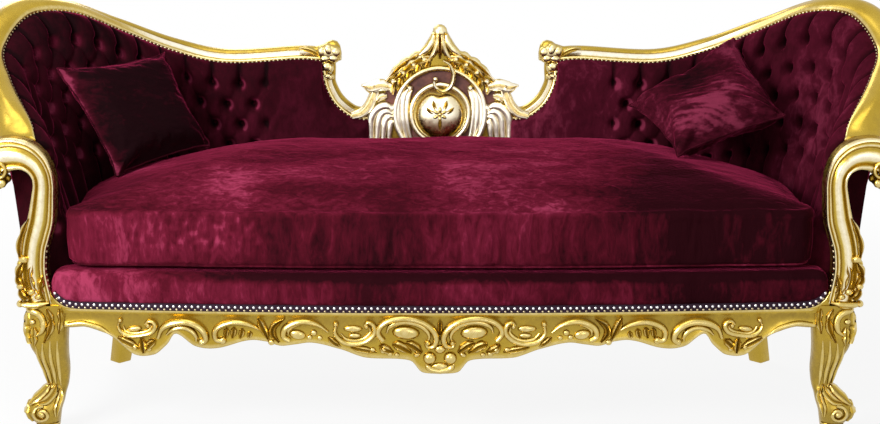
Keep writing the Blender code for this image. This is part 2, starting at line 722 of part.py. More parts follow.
def corner_blocks(side, beech):
    """Glue blocks in the corners of the seat frame."""
    inner = SIDE_HALF - RAIL_IN - FIT
    leg_inner = RAIL_HALF
    back = WING_FRONT_Y
    front = [
        (inner, back), (inner, back + 2 * BLOCK_LEG), (leg_inner - BLOCK_LEG, back - BLOCK_LEG / 3),
        (leg_inner, back - BLOCK_LEG / 3), (leg_inner, back),
    ]
    name = side_name(side)
    height = RAIL_LOW + 0.012, RAIL_TOP - 0.004
    prism(f"corner_block_front_{name}", [(side * x, y) for x, y in front], *height, beech)
    centre, along, out = rear_leg_axes()
    face = centre - out * ((RAIL_OUT + RAIL_IN) / 2 + FIT)
    half = REAR_LEG_HALF - 0.004
    rear = [face + along * half, face - along * half, face - along * half * 0.4 - out * BLOCK_LEG,
            face + along * half * 0.4 - out * BLOCK_LEG]
    prism(f"corner_block_rear_{name}", [(side * p.x, p.y) for p in rear], *height, beech)


def seat_braces(side, beech):
    """Rail from the front rail back to the rear rail, under the webbing."""
    low, high = RAIL_LOW + 0.006, RAIL_TOP - 0.012
    inner, outer = BRACE_X - BRACE_WIDE / 2, BRACE_X + BRACE_WIDE / 2
    front = max(apron_face(inner), apron_face(outer)) + APRON_THICK + FIT
    back = BACK_Y - RAIL_IN - FIT
    outline = [(side * x, y) for x, y in ((inner, front), (outer, front), (outer, back), (inner, back))]
    prism(f"seat_brace_{side_name(side)}", outline, low, high, beech)


# Inside the seat

def seat_webbing(web):
    """Lattice of straps tacked over the rails."""
    low_y = APRON_FRONT + APRON_THICK - WEB_LAP
    high_y = BACK_Y - RAIL_IN + WEB_LAP
    half_x = SIDE_HALF - RAIL_IN + WEB_LAP
    spread = SIDE_HALF - 0.37
    long_mid = [spread * (2 * i / (WEB_LONG_STRAPS - 1) - 1) for i in range(WEB_LONG_STRAPS)]
    first_y, last_y = WING_FRONT_Y + 0.06, BACK_Y - 0.36
    step = (last_y - first_y) / (WEB_CROSS_STRAPS - 1)
    cross_mid = [first_y + step * i for i in range(WEB_CROSS_STRAPS)]
    half = WEB_WIDE / 2
    xs = sorted([-half_x, half_x] + [m + s * half for m in long_mid for s in (-1, 1)])
    ys = sorted([low_y, high_y] + [m + s * half for m in cross_mid for s in (-1, 1)])
    bm = bmesh.new()
    verts = {}

    def corner(i, j):
        if (i, j) not in verts:
            verts[i, j] = bm.verts.new((xs[i], ys[j], RAIL_TOP + FIT))
        return verts[i, j]

    for i in range(len(xs) - 1):
        for j in range(len(ys) - 1):
            x, y = (xs[i] + xs[i + 1]) / 2, (ys[j] + ys[j + 1]) / 2
            in_long = any(abs(x - m) < half for m in long_mid)
            in_cross = any(abs(y - m) < half for m in cross_mid)
            if in_long or in_cross:
                bm.faces.new((corner(i, j), corner(i + 1, j), corner(i + 1, j + 1), corner(i, j + 1)))
    raised = bmesh.ops.extrude_face_region(bm, geom=list(bm.faces))["geom"]
    for item in raised:
        if isinstance(item, bmesh.types.BMVert):
            item.co.z += WEB_THICK
    finish("seat_webbing", bm, web, smooth=False)


def dust_cover(cambric):
    """Black cloth under the seat, tacked to the rails."""
    front = APRON_FRONT + APRON_THICK + FIT
    half = RAIL_HALF - 0.004
    side_x = SIDE_HALF + RAIL_OUT - 0.012
    centre, along, out = rear_leg_axes()
    before = centre + along * (REAR_LEG_HALF + 0.004)
    behind = centre - along * (REAR_LEG_HALF + 0.004)
    inner = (RAIL_OUT + RAIL_IN) / 2 + 0.004
    right = [
        (half, front), (half, WING_FRONT_Y + 0.004), (side_x, WING_FRONT_Y + 0.004),
        (side_x, BACK_Y - 0.32), tuple(before[:2]), tuple((before - out * inner)[:2]),
        tuple((behind - out * inner)[:2]), tuple(behind[:2]), (SIDE_HALF - 0.30, BACK_Y + RAIL_OUT - 0.02),
    ]
    outline = right + [(-x, y) for x, y in reversed(right)]
    prism("dust_cover", outline, RAIL_LOW - FIT - DUST_THICK, RAIL_LOW - FIT, cambric)


def seat_outline(inset, front_inset, corner, between_posts):
    """Plan of the deck or the cushion: along the back and wings at an inset, and along the bowed front."""
    ks = [k for k in ROUND_COLUMNS[::2] if k < ROUND_END - 0.35]
    right = [foot_line(k) - outward(k) * inset for k in ks]
    right = [(0.0, BACK_Y - inset)] + [(p.x, p.y) for p in right if p.y > WING_FRONT_Y + 0.03]
    side_x = SIDE_HALF - inset
    if between_posts:
        post_x = SIDE_HALF + POST_FOOT_SHIFT - POST_FOOT_HALF - 0.005
        right += [(side_x, WING_FRONT_Y + 0.004), (post_x, WING_FRONT_Y - 0.012)]
        side_x = post_x
    centre_y = apron_face(side_x - corner) + front_inset + corner
    for i in range(5):
        angle = math.pi / 2 * i / 4
        right.append((side_x - corner * (1 - math.cos(angle)), centre_y - corner * math.sin(angle)))
    for share in (0.8, 0.6, 0.4, 0.2):
        right.append((side_x * share, apron_face(side_x * share) + front_inset))
    middle_front = [(0.0, apron_face(0.0) + front_inset)]
    return right + middle_front + [(-x, y) for x, y in reversed(right[1:])]


def crown_ring(outline, share):
    """The outline drawn in toward the cushion's ridge; share 1 leaves it where it is."""
    wide = CUSHION_RIDGE + (1 - CUSHION_RIDGE) * share
    return [(x * wide, CUSHION_RIDGE_Y + (y - CUSHION_RIDGE_Y) * share) for x, y in outline]


def inset_by(outline, distance, middle):
    found = []
    for x, y in outline:
        way = Vector((x - middle[0], y - middle[1]))
        way *= max(0.0, 1 - distance / way.length)
        found.append((middle[0] + way.x, middle[1] + way.y))
    return found


SEAT_MIDDLE = (0.0, (FRONT_Y + BACK_Y) / 2)


def level_ring(outline, height, pull):
    """The outline at a height, drawn in toward the middle of the seat."""
    return [Vector((x, y, height)) for x, y in inset_by(outline, pull, SEAT_MIDDLE)]


def seat_deck(velvet):
    """Padded platform over the webbing, with a rolled front edge that shows under the cushion."""
    base = RAIL_TOP + WEB_THICK + 2 * FIT
    outline = seat_outline(DECK_INSET, 0.004, 0.012, between_posts=True)
    tall = DECK_TOP - base
    levels = [(0.0, 0.003), (tall * 0.25, 0.0), (tall * 0.7, 0.001), (tall * 0.93, 0.010), (tall, 0.024)]
    rings = [level_ring(outline, base + z, pull) for z, pull in levels]
    return loft("seat_deck", rings, velvet)


def seat_cushion(velvet):
    """Loose boxed cushion with a crowned top."""
    base = DECK_TOP + FIT
    outline = seat_outline(CUSHION_INSET, CUSHION_SET_BACK, CUSHION_CORNER, between_posts=False)
    sides = [(0.0, 0.016), (0.012, 0.004), (CUSHION_BOX * 0.5, 0.0), (CUSHION_BOX - 0.012, 0.003)]
    rings = [level_ring(outline, base + z, pull) for z, pull in sides]
    for share in (0.97, 0.88, 0.72, 0.5, 0.27, 0.08):
        z = base + CUSHION_BOX + CUSHION_CROWN * (1 - share ** 2.0)
        rings.append([Vector((x, y, z)) for x, y in crown_ring(outline, share)])
    return loft("seat_cushion", rings, velvet)


def nail_band(nickel):
    """Strip of close-set nail heads along the front rail's top."""
    rings = []
    for i in range(25):
        x = (RAIL_HALF - 0.012) * (i / 12 - 1)
        y = apron_face(x) - FIT
        low = RAIL_TOP - NAIL_BAND_HIGH / 2
        section = [
            (0, 0), (0, NAIL_BAND_HIGH),
            (-NAIL_BAND_THICK, NAIL_BAND_HIGH * 0.7), (-NAIL_BAND_THICK, NAIL_BAND_HIGH * 0.3),
        ]
        rings.append([Vector((x, y + dy, low + dz)) for dy, dz in section])
    return loft("nail_band_front", rings, nickel)


# Back and wings

def pad_depth(column, row):
    """Thickness of the padding at a place on the lattice: buttons and hills stand like a chess board."""
    k = COLUMNS[column]
    at = shell(k, share_of(k, row), 0)
    if row == TUFT_ROWS:
        return PAD_EDGE
    if row == 0:
        return PAD_FOOT
    if at.z < DECK_TOP + CUSHION_BOX * 0.6:
        return (PAD_FOOT + PAD_PLAIN) / 2
    if column in (0, len(COLUMNS) - 1):
        return PAD_EDGE
    if column == len(COLUMNS) - 2:
        return PAD_BUTTON
    if at.x < TUFT_FROM:
        return PAD_PLAIN
    return PAD_BUTTON if (column + row) % 2 == 0 else PAD_HILL


def tufted_pad(name, side, first, last, velvet):
    """Deep-buttoned padding on the inside of the back or the wing."""
    columns = part_columns(first, last)
    front, back = [], []
    for row in PAD_ROWS:
        line, behind = [], []
        for i, k in enumerate(columns):
            behind.append(shell(k, share_of(k, row), 0.0))
            line.append(shell(k, share_of(k, row), -pad_depth(first + i, row)))
        front.append(mirrored(line, side))
        back.append(mirrored(behind, side))
    return slab(name, front, back, velvet, lambda r, c: (first + c + PAD_ROWS[r]) % 2 == 0)


def back_half(side, finishes):
    """Frame, hessian, padding and outer cover of one half of the back and its wing."""
    name = side_name(side)
    last = len(COLUMNS) - 1
    stile = KNOB_COLUMN, KNOB_COLUMN + STILE_COLUMNS
    corner = CORNER_COLUMN - 1, CORNER_COLUMN + 1
    beech = finishes["beech"]
    rail_rows = [FOOT_ROW, 0, LOWER_RAIL_ROW]
    stile_rows = [LOWER_RAIL_ROW + 2 * FIT * TUFT_ROWS] + PAD_ROWS[2:]
    depth = FRAME_IN, FRAME_OUT
    wall_piece(f"back_lower_rail_{name}", side, part_columns(0, corner[0]), rail_rows, *depth, beech)
    wall_piece(f"wing_lower_rail_{name}", side, part_columns(corner[1], last), rail_rows, *depth, beech)
    wall_piece(f"inner_stile_{name}", side, part_columns(*stile), stile_rows, *depth, beech)
    wall_piece(f"wing_stile_{name}", side, part_columns(last - 1, last), stile_rows, *depth, beech)
    wall_piece(f"corner_stile_{name}", side, part_columns(*corner), [FOOT_ROW] + PAD_ROWS, *depth, beech)
    parts = (("back", 0, CORNER_COLUMN), ("wing", CORNER_COLUMN, last))
    for label, first, end in parts:
        hessian = FIT, FIT + HESSIAN_THICK
        columns = part_columns(first, end)
        wall_piece(f"{label}_hessian_{name}", side, columns, PAD_ROWS, *hessian, finishes["hessian"])
        cover = COVER_IN, COVER_OUT
        wall_piece(f"outer_{label}_cover_{name}", side, columns, COVER_ROWS, *cover, finishes["velvet"])
        tufted_pad(f"{label}_pad_{name}", side, first, end, finishes["velvet"])


# Carved centre panel

PANEL_FRONT = -0.016  # its face and its back, as depths from the back's frame plane
PANEL_BACK = 0.026
RING_MIDDLE = DIP_LOW + 0.019  # height of the middle of the ring and the heart
ARCH_RADIUS = 0.116
RING_RADIUS = 0.068
HEART_RADIUS = 0.050
PANEL_TOP = DIP_LOW + 0.248
PANEL_FOOT = RAIL_TOP + WEB_THICK + 2 * FIT  # it stands on the ends of the webbing
PANEL_OUTLINE = [  # half width and height, from the foot to the tip of the finial
    (CENTRE_HALF, PANEL_FOOT), (CENTRE_HALF, DIP_LOW + DIP_RAIL_HIGH),
    (CENTRE_HALF - 0.018, DIP_LOW + 0.049),
    (CENTRE_HALF - 0.012, DIP_LOW + 0.067), (CENTRE_HALF + 0.018, DIP_LOW + 0.087),
    (CENTRE_HALF - 0.046, DIP_LOW + 0.101), (CENTRE_HALF - 0.056, DIP_LOW + 0.115),
    (CENTRE_HALF - 0.082, DIP_LOW + 0.137), (0.060, DIP_LOW + 0.165), (0.042, DIP_LOW + 0.189),
    (0.028, DIP_LOW + 0.215), (0.024, DIP_LOW + 0.231), (0.016, DIP_LOW + 0.243), (0.0, PANEL_TOP),
]


def panel_point(x, z, depth):
    return Vector((x, leaning(z) + depth, z))


def panel_ring(name, radius, wire, start, end, steps, gold, lift):
    """A carved arc standing on the panel's face; a full turn makes a closed ring of it."""
    rings = []
    for i in range(steps + 1):
        angle = start + (end - start) * i / steps
        way = Vector((math.cos(angle), 0, math.sin(angle)))
        centre = panel_point(way.x * radius, RING_MIDDLE + way.z * radius, PANEL_FRONT - lift)
        rings.append(oval(centre, way, BACKWARD, wire, wire, 6))
    return loft(name, rings, gold)


def heart_boss(gold):
    """Heart-shaped cushion on the panel's face, drawn to a point at its foot."""
    rings = []
    for share, lift in ((1.0, -0.006), (1.0, 0.006), (0.86, 0.017), (0.6, 0.024), (0.25, 0.027)):
        ring = []
        for i in range(20):
            angle = 2 * math.pi * (i + 0.5) / 20
            reach = 1 - 0.16 * math.exp(-((angle - math.pi / 2) / 0.3) ** 2)
            x = HEART_RADIUS * share * reach * math.cos(angle)
            z = RING_MIDDLE + HEART_RADIUS * share * reach * math.sin(angle)
            ring.append(panel_point(x, z, PANEL_FRONT - lift))
        rings.append(ring)
    return loft("heart_boss_shape", rings, gold)


def centre_panel(gold):
    """Carved panel between the two halves of the back, with an arch, a ring and a heart on its face."""
    right = PANEL_OUTLINE
    outline = right + [(-x, z) for x, z in reversed(right[:-1])]
    rings = [[panel_point(x, z, depth) for x, z in outline] for depth in (PANEL_BACK, PANEL_FRONT)]
    panel = loft("centre_panel", rings, gold)
    join(panel, panel_ring("arch_shape", ARCH_RADIUS, 0.009, -0.35, math.pi + 0.35, 20, gold, 0.003))
    join(panel, panel_ring("ring_shape_upper", RING_RADIUS, 0.008, -0.05, math.pi + 0.05, 14, gold, 0.003))
    join(panel, panel_ring("ring_shape_lower", RING_RADIUS, 0.0078, math.pi, 2 * math.pi, 14, gold, 0.0032))
    join(panel, heart_boss(gold))
    return panel


# Pillows

def pillow(name, centre, right, up, velvet):
    """Square stuffed pillow: thick in the middle, its sides drawn in between the corners."""
    right = Vector(right).normalized()
    up = (Vector(up) - right * Vector(up).dot(right)).normalized()
    face = right.cross(up)
    count = 10
    half = PILLOW_SIDE / 2

    def grid(sign):
        rows = []
        for j in range(count + 1):
            b = 2 * j / count - 1
            row = []
            for i in range(count + 1):
                a = 2 * i / count - 1
                x = a * half * (1 - PILLOW_PULL * (1 - b * b) * abs(a))
                y = b * half * (1 - PILLOW_PULL * (1 - a * a) * abs(b))
                swell = ((1 - a ** 4) * (1 - b ** 4)) ** 0.5
                z = sign * (0.003 + (PILLOW_THICK / 2 - 0.003) * swell)
                row.append(Vector((x, y, z)))
            rows.append(row)
        return rows

    made = slab(name, grid(1), grid(-1), velvet)
    turn = Matrix((right, up, face)).transposed().to_4x4()
    made.matrix_world = Matrix.Translation(centre) @ turn
    return made


SEAT_HIGH = DECK_TOP + CUSHION_BOX + CUSHION_CROWN
LEFT_PILLOW = Vector((0.1651 - SIDE_HALF, BACK_Y - 0.2409, SEAT_HIGH + 0.0711))
LEFT_PILLOW_EDGE = Vector((0.745, 0.657, 0.113))
LEFT_PILLOW_UP = Vector((-0.473, 0.401, 0.784))
RIGHT_PILLOW = Vector((SIDE_HALF - 0.2475, BACK_Y - 0.238, SEAT_HIGH + 0.0936))
RIGHT_PILLOW_EDGE = Vector((0.908, 0.160, 0.387))
RIGHT_PILLOW_UP = Vector((-0.308, 0.881, 0.360))


def main():
    for old in list(bpy.data.objects):
        bpy.data.objects.remove(old)
    finishes = make_materials()
    gold, beech, velvet = finishes["gold"], finishes["beech"], finishes["velvet"]
    for side in (-1, 1):
        front_leg(side, gold)
        rear_leg(side, gold)
        arm_post(side, gold)
        side_rail(side, beech)
        corner_blocks(side, beech)
        seat_braces(side, beech)
        back_half(side, finishes)
        top_rail(side, gold)
        wing_rail(side, gold)
        dip_rail(side, gold)
    front_rail(gold)
    rear_rail(beech)
    centre_panel(gold)
    seat_webbing(finishes["web"])
    dust_cover(finishes["cambric"])
    seat_deck(velvet)
    seat_cushion(velvet)
    nail_band(finishes["nickel"])
    pillow("pillow_left", LEFT_PILLOW, LEFT_PILLOW_EDGE, LEFT_PILLOW_UP, velvet)
    pillow("pillow_right", RIGHT_PILLOW, RIGHT_PILLOW_EDGE, RIGHT_PILLOW_UP, velvet)


main()
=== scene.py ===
import math
import random

import bpy
import numpy as np
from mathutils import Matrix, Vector, noise
from mathutils.bvhtree import BVHTree


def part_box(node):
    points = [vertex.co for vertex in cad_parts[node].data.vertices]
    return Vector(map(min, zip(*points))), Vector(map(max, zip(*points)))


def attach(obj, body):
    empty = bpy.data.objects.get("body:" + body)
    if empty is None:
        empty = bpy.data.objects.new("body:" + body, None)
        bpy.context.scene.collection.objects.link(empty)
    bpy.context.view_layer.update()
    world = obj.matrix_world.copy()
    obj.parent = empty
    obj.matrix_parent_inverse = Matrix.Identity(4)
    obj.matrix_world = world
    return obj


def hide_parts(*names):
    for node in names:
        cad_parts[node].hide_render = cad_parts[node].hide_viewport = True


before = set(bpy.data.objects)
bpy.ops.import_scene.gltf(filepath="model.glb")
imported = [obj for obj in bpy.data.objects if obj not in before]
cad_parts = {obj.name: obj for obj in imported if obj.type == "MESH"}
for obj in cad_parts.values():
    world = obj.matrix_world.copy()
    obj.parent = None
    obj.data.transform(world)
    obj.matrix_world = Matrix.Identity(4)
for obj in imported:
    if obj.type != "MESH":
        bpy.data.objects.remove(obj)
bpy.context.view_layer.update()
scene = bpy.context.scene
scene.view_settings.view_transform = "Standard"
bpy.ops.object.select_all(action="DESELECT")

# the settee's main lines, in metres, as the frame has them
settee = {
    "sideHalf": 0.925, "backY": 0.310, "backLean": 0.109, "railTop": 0.318, "shellBase": 0.3183,
    "wingFrontY": -0.2997, "railHalf": 0.8797, "legY": -0.335, "tuftPitch": 0.071, "tuftRows": 9,
    "railMiddle": 0.0169,  # middle of the upper rails, out from the padding's back
}
up, across, backward = Vector((0, 0, 1)), Vector((1, 0, 0)), Vector((0, 1, 0))
sides = {"Left": -1, "Right": 1}


def leaning(height):
    return settee["backY"] + (height - settee["shellBase"]) * settee["backLean"]


dipEdge = [(0.1863, 0.641), (0.206, 0.640), (0.240, 0.649), (0.278, 0.681), (0.301, 0.723), (0.309, 0.758),
           (0.311, 0.7927)]
roundEdge = [(0.311, leaning(0.793), 0.793), (0.371, leaning(0.793), 0.798), (0.566, leaning(0.793), 0.789),
             (0.704, 0.336, 0.824), (0.830, 0.250, 0.888), (0.946, 0.145, 0.949), (1.039, 0.060, 0.948),
             (1.082, -0.050, 0.880), (1.051, -0.1397, 0.815), (0.989, -0.2397, 0.735),
             (0.967, -0.2997, 0.700)]
footPlan = [(0.311, 0.31), (0.366, 0.31), (0.546, 0.31), (0.667, 0.298), (0.775, 0.246), (0.860, 0.155),
            (0.906, 0.060), (0.923, -0.050), (0.925, -0.1397), (0.925, -0.2397), (0.925, -0.2997)]
roundFoot = [(x, y, settee["shellBase"]) for x, y in footPlan]
roundEnd = len(roundEdge) - 1


def through(points, t):  # a smooth curve through the points
    i = max(0, min(int(t), len(points) - 2))
    f = t - i
    p = [Vector(points[max(0, min(n, len(points) - 1))]) for n in range(i - 1, i + 3)]
    if i == 0:
        p[0] = p[1] * 2 - p[2]
    if i == len(points) - 2:
        p[3] = p[2] * 2 - p[1]
    ahead, bend = p[2] - p[0], p[0] * 2 - p[1] * 5 + p[2] * 4 - p[3]
    twist = p[1] * 3 - p[0] - p[2] * 3 + p[3]
    return (p[1] * 2 + ahead * f + bend * f * f + twist * f ** 3) / 2


def smoothPath(points, each=6):
    return [through(points, i / each) for i in range((len(points) - 1) * each + 1)]


def upperEdge(k):  # -1 at the centre panel, 0 at the knob, 10 at the arm
    if k < 0:
        x, z = through([(*p, 0) for p in dipEdge], (k + 1) * (len(dipEdge) - 1))[:2]
        return Vector((x, leaning(z), z))
    return through(roundEdge, k)


def footLine(k):
    if k < 0:
        return Vector((upperEdge(k).x, settee["backY"], settee["shellBase"]))
    return through(roundFoot, k)


def outward(k):
    if k <= 0:
        return backward.copy()
    way = footLine(min(roundEnd, k + 0.02)) - footLine(max(0.0, k - 0.02))
    return Vector((-way.y, way.x, 0)).normalized()


def shell(k, v, w):  # v goes up the back, w is the depth outward
    return footLine(k).lerp(upperEdge(k), v) + outward(k) * w


def runAlong(points):  # the distance along a line at each of its points
    run = [0.0]
    for a, b in zip(points, points[1:]):
        run.append(run[-1] + (b - a).length)
    return run


def evenStations(first, last, count, pointAt):  # values of k that lie evenly along a line, and its length
    fine = [first + (last - first) * i / 400 for i in range(401)]
    run = runAlong([pointAt(k) for k in fine])
    return [float(np.interp(run[-1] * n / count, run, fine)) for n in range(count + 1)], run[-1]


def smoothStep(low, high, value):
    f = max(0.0, min(1.0, (value - low) / (high - low)))
    return f * f * (3 - 2 * f)


def bell(value, middle, wide):  # 1 at the middle, fading to both sides
    return math.exp(-((value - middle) / wide) ** 2)


def waver(x, y, z):
    return noise.noise(Vector((x, y, z)))


def roundTurn(count):  # angles once round
    return [2 * math.pi * i / count for i in range(count)]


def flipped(p, side):  # everything is worked out for the right side
    return Vector((p.x * side, p.y, p.z))


# mesh helpers

def pick(piece):
    bpy.ops.object.select_all(action="DESELECT")
    piece.select_set(True)
    bpy.context.view_layer.objects.active = piece


def editAll(piece):  # into edit mode, with everything selected
    pick(piece)
    bpy.ops.object.mode_set(mode="EDIT")
    bpy.ops.mesh.select_all(action="SELECT")


def putValues(piece, label, values):  # one value at each point, which the material reads
    piece.data.attributes.new(label, "FLOAT", "POINT").data.foreach_set("value", values)


def makePiece(name, points, faces, material, body="frame", crest=None, angle=42, turn=True):
    mesh = bpy.data.meshes.new(name)
    mesh.from_pydata([tuple(p) for p in points], [], faces)
    mesh.validate()
    piece = bpy.data.objects.new(name, mesh)
    scene.collection.objects.link(piece)
    mesh.materials.append(material)
    if crest is not None:
        putValues(piece, "crest", crest)
    pick(piece)
    if turn:
        editAll(piece)
        bpy.ops.mesh.normals_make_consistent(inside=False)
        bpy.ops.object.mode_set(mode="OBJECT")
    bpy.ops.object.shade_smooth_by_angle(angle=math.radians(angle))
    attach(piece, body)
    return piece


def newCarving():
    return {"points": [], "faces": [], "crest": []}


def addRings(carving, rings, crests, closed=False):
    start, count = len(carving["points"]), len(rings[0])
    for ring, crest in zip(rings, crests):
        carving["points"] += ring
        carving["crest"] += crest
    last = len(rings) if closed else len(rings) - 1
    for r in range(last):
        near, far = start + r * count, start + (r + 1) % len(rings) * count
        for i in range(count):
            j = (i + 1) % count
            carving["faces"].append((near + i, near + j, far + j, far + i))
    if closed:
        return
    for r in (0, len(rings) - 1):
        tip = len(carving["points"])
        carving["points"].append(sum(rings[r], Vector()) / count)
        carving["crest"].append(sum(crests[r]) / count)
        for i in range(count):
            carving["faces"].append((start + r * count + i, start + r * count + (i + 1) % count, tip))


def carved(name, carving, nodes, side=1, least=0.0):  # a finished carving, in place of solids
    points = [flipped(p, side) for p in carving["points"]]
    crest = [max(c, least) for c in carving["crest"]]
    piece = makePiece(name, points, carving["faces"], goldLeaf, crest=crest)
    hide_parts(*nodes)


def ringPiece(name, parts, material, body="frame", angle=42, closed=False):  # of rows of rings
    shape = newCarving()
    for rings in parts:
        addRings(shape, rings, [[0] * len(rings[0])] * len(rings), closed)
    makePiece(name, shape["points"], shape["faces"], material, body, angle=angle)


def nodeCopy(node, name, merge):  # a copy of a solid of the frame, left in edit mode with its corners merged
    piece = bpy.data.objects.new(name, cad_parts[node].data.copy())
    piece.data.materials.clear()
    scene.collection.objects.link(piece)
    editAll(piece)
    bpy.ops.mesh.remove_doubles(threshold=merge)
    return piece


def standFor(piece, node, body="frame"):  # takes the place of one solid
    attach(piece, body)
    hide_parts(node)


# sections of the carver's strokes: place across, height, and how far the gold is rubbed there
strokeForms = {
    "round": [(-1, -1, 0), (-1, 0, 0.1), (-0.9, 0.45, 0.5), (-0.55, 0.85, 0.9), (0, 1, 1), (0.55, 0.85, 0.9),
              (0.9, 0.45, 0.5), (1, 0, 0.1), (1, -1, 0)],
    "fluted": [(-1, -1, 0), (-1, 0.1, 0.1), (-0.86, 0.75, 0.8), (-0.58, 1, 1), (-0.28, 0.7, 0.35),
               (0, 0.5, 0.05), (0.28, 0.7, 0.35), (0.58, 1, 1), (0.86, 0.75, 0.8), (1, 0.1, 0.1), (1, -1, 0)],
    "leaf": [(-1, -1, 0), (-1, 0.1, 0.3), (-0.78, 0.72, 0.9), (-0.45, 1, 1), (-0.16, 0.62, 0.35),
             (0, 0.45, 0.05), (0.16, 0.62, 0.35), (0.45, 1, 1), (0.78, 0.72, 0.9), (1, 0.1, 0.3), (1, -1, 0)],
}
strokeRoot = 0.005  # how deep a stroke stands in its host


def carveStroke(carving, host, keys, wide, high, form="round", ends=(0.3, 0.3), lobes=0, curl=0.0, each=6):
    path = smoothPath([(*p, 0) for p in keys], each)
    rings, crests = [], []
    for i, p in enumerate(path):
        s = i / (len(path) - 1)
        way = path[min(i + 1, len(path) - 1)] - path[max(i - 1, 0)]
        aside = Vector((-way.y, way.x)).normalized()
        fat = min(ends[0] + (1 - ends[0]) * smoothStep(0, 0.3, s),
                  ends[1] + (1 - ends[1]) * smoothStep(1, 0.65, s))
        lobe = 1.0
        if lobes:
            lobe = 0.62 + 0.38 * abs(math.sin(math.pi * (s * lobes) ** 0.9))
        ring = []
        for a, lift, wearAndLight in strokeForms[form]:
            rise = -strokeRoot
            if lift >= 0:
                rise = lift * high * (0.35 + 0.65 * fat) * (0.7 + 0.3 * lobe) + curl * s * s
            spot = Vector((p.x, p.y)) + aside * (a * wide / 2 * fat * lobe)
            ring.append(host(spot.x, spot.y, rise))
        rings.append(ring)
        crests.append([wearAndLight * (0.55 + 0.45 * lobe) for _, _, wearAndLight in strokeForms[form]])
    addRings(carving, rings, crests)


def carveBall(carving, host, u, v, halfLong, halfWide=None, high=None, lift=0.0, turn=0.0):
    halfWide = halfWide or halfLong
    high = high or halfWide
    c, s = math.cos(math.radians(turn)), math.sin(math.radians(turn))
    rings, crests = [], []
    for n in range(1, 8):
        tilt = math.pi * n / 8
        ring = []
        for angle in roundTurn(14):
            a, b = math.sin(tilt) * math.cos(angle) * halfLong, math.sin(tilt) * math.sin(angle) * halfWide
            ring.append(host(u + a * c - b * s, v + a * s + b * c, lift + math.cos(tilt) * high))
        rings.append(ring)
        crests.append([smoothStep(-0.5, 0.8, math.cos(tilt))] * 14)
    addRings(carving, rings, crests)


def carveBalls(carving, host, rows):
    for u, v, halfLong, halfWide, high, turn in rows:
        carveBall(carving, host, u, v, halfLong, halfWide, high, turn=turn)


def carveVolute(carving, host, u, v, radius, turns, start, wide, high, way, eye):
    keys = []
    count = int(turns * 8)
    for i in range(count + 1):
        angle = math.radians(start) + way * 2 * math.pi * turns * i / count
        reach = radius * (1 - 0.78 * i / count)
        keys.append((u + math.cos(angle) * reach, v + math.sin(angle) * reach))
    carveStroke(carving, host, keys, wide, high, "round", (0.9, 0.5), each=3)
    carveBall(carving, host, u, v, eye, high=eye * 1.1, lift=high * 0.3)


print("settee: lines and carver's tools ready")


# materials

def newGroup(name, inputs, outputs):
    group = bpy.data.node_groups.new(name, "ShaderNodeTree")
    for label, kind, value in inputs:
        socket = group.interface.new_socket(label, in_out="INPUT", socket_type=kind)
        if value is not None:
            socket.default_value = value
    for label, kind in outputs:
        group.interface.new_socket(label, in_out="OUTPUT", socket_type=kind)
    return group, group.nodes.new("NodeGroupInput"), group.nodes.new("NodeGroupOutput")


def addNode(tree, kind, values=None, **settings):
    node = tree.nodes.new(kind)
    for label, value in settings.items():
        setattr(node, label, value)
    for label, value in (values or {}).items():
        if isinstance(value, bpy.types.NodeSocket):
            tree.links.new(value, node.inputs[label])
        else:
            node.inputs[label].default_value = value
    return node


def addMath(tree, operation, a, b=0.5, clamp=False):
    return addNode(tree, "ShaderNodeMath", {0: a, 1: b}, operation=operation, use_clamp=clamp).outputs[0]


def addSum(tree, *terms):  # weighted sum of values
    total = addMath(tree, "MULTIPLY", *terms[0])
    for value, weight in terms[1:]:
        total = addMath(tree, "ADD", total, addMath(tree, "MULTIPLY", value, weight))
    return total


def addNoise(tree, vector, scale, detail=4.0, rough=0.55, distortion=0.0):
    values = {"Vector": vector, "Scale": scale, "Detail": detail, "Roughness": rough,
              "Distortion": distortion}
    return addNode(tree, "ShaderNodeTexNoise", values).outputs[0]


def addRamp(tree, factor, stops):
    node = addNode(tree, "ShaderNodeValToRGB", {"Fac": factor})
    ramp = node.color_ramp
    for place, _ in stops[2:]:
        ramp.elements.new(place)
    for element, (place, colour) in zip(ramp.elements, stops):
        element.position = place
        element.color = (*colour, 1)
    return node.outputs["Color"]


def addRange(tree, value, low, high, toLow=0.0, toHigh=1.0):
    values = {"Value": value, "From Min": low, "From Max": high, "To Min": toLow, "To Max": toHigh}
    return addNode(tree, "ShaderNodeMapRange", values).outputs[0]


def addMix(tree, factor, first, second):
    values = {"Factor": factor, 6: first, 7: second}
    return addNode(tree, "ShaderNodeMix", values, data_type="RGBA").outputs[2]


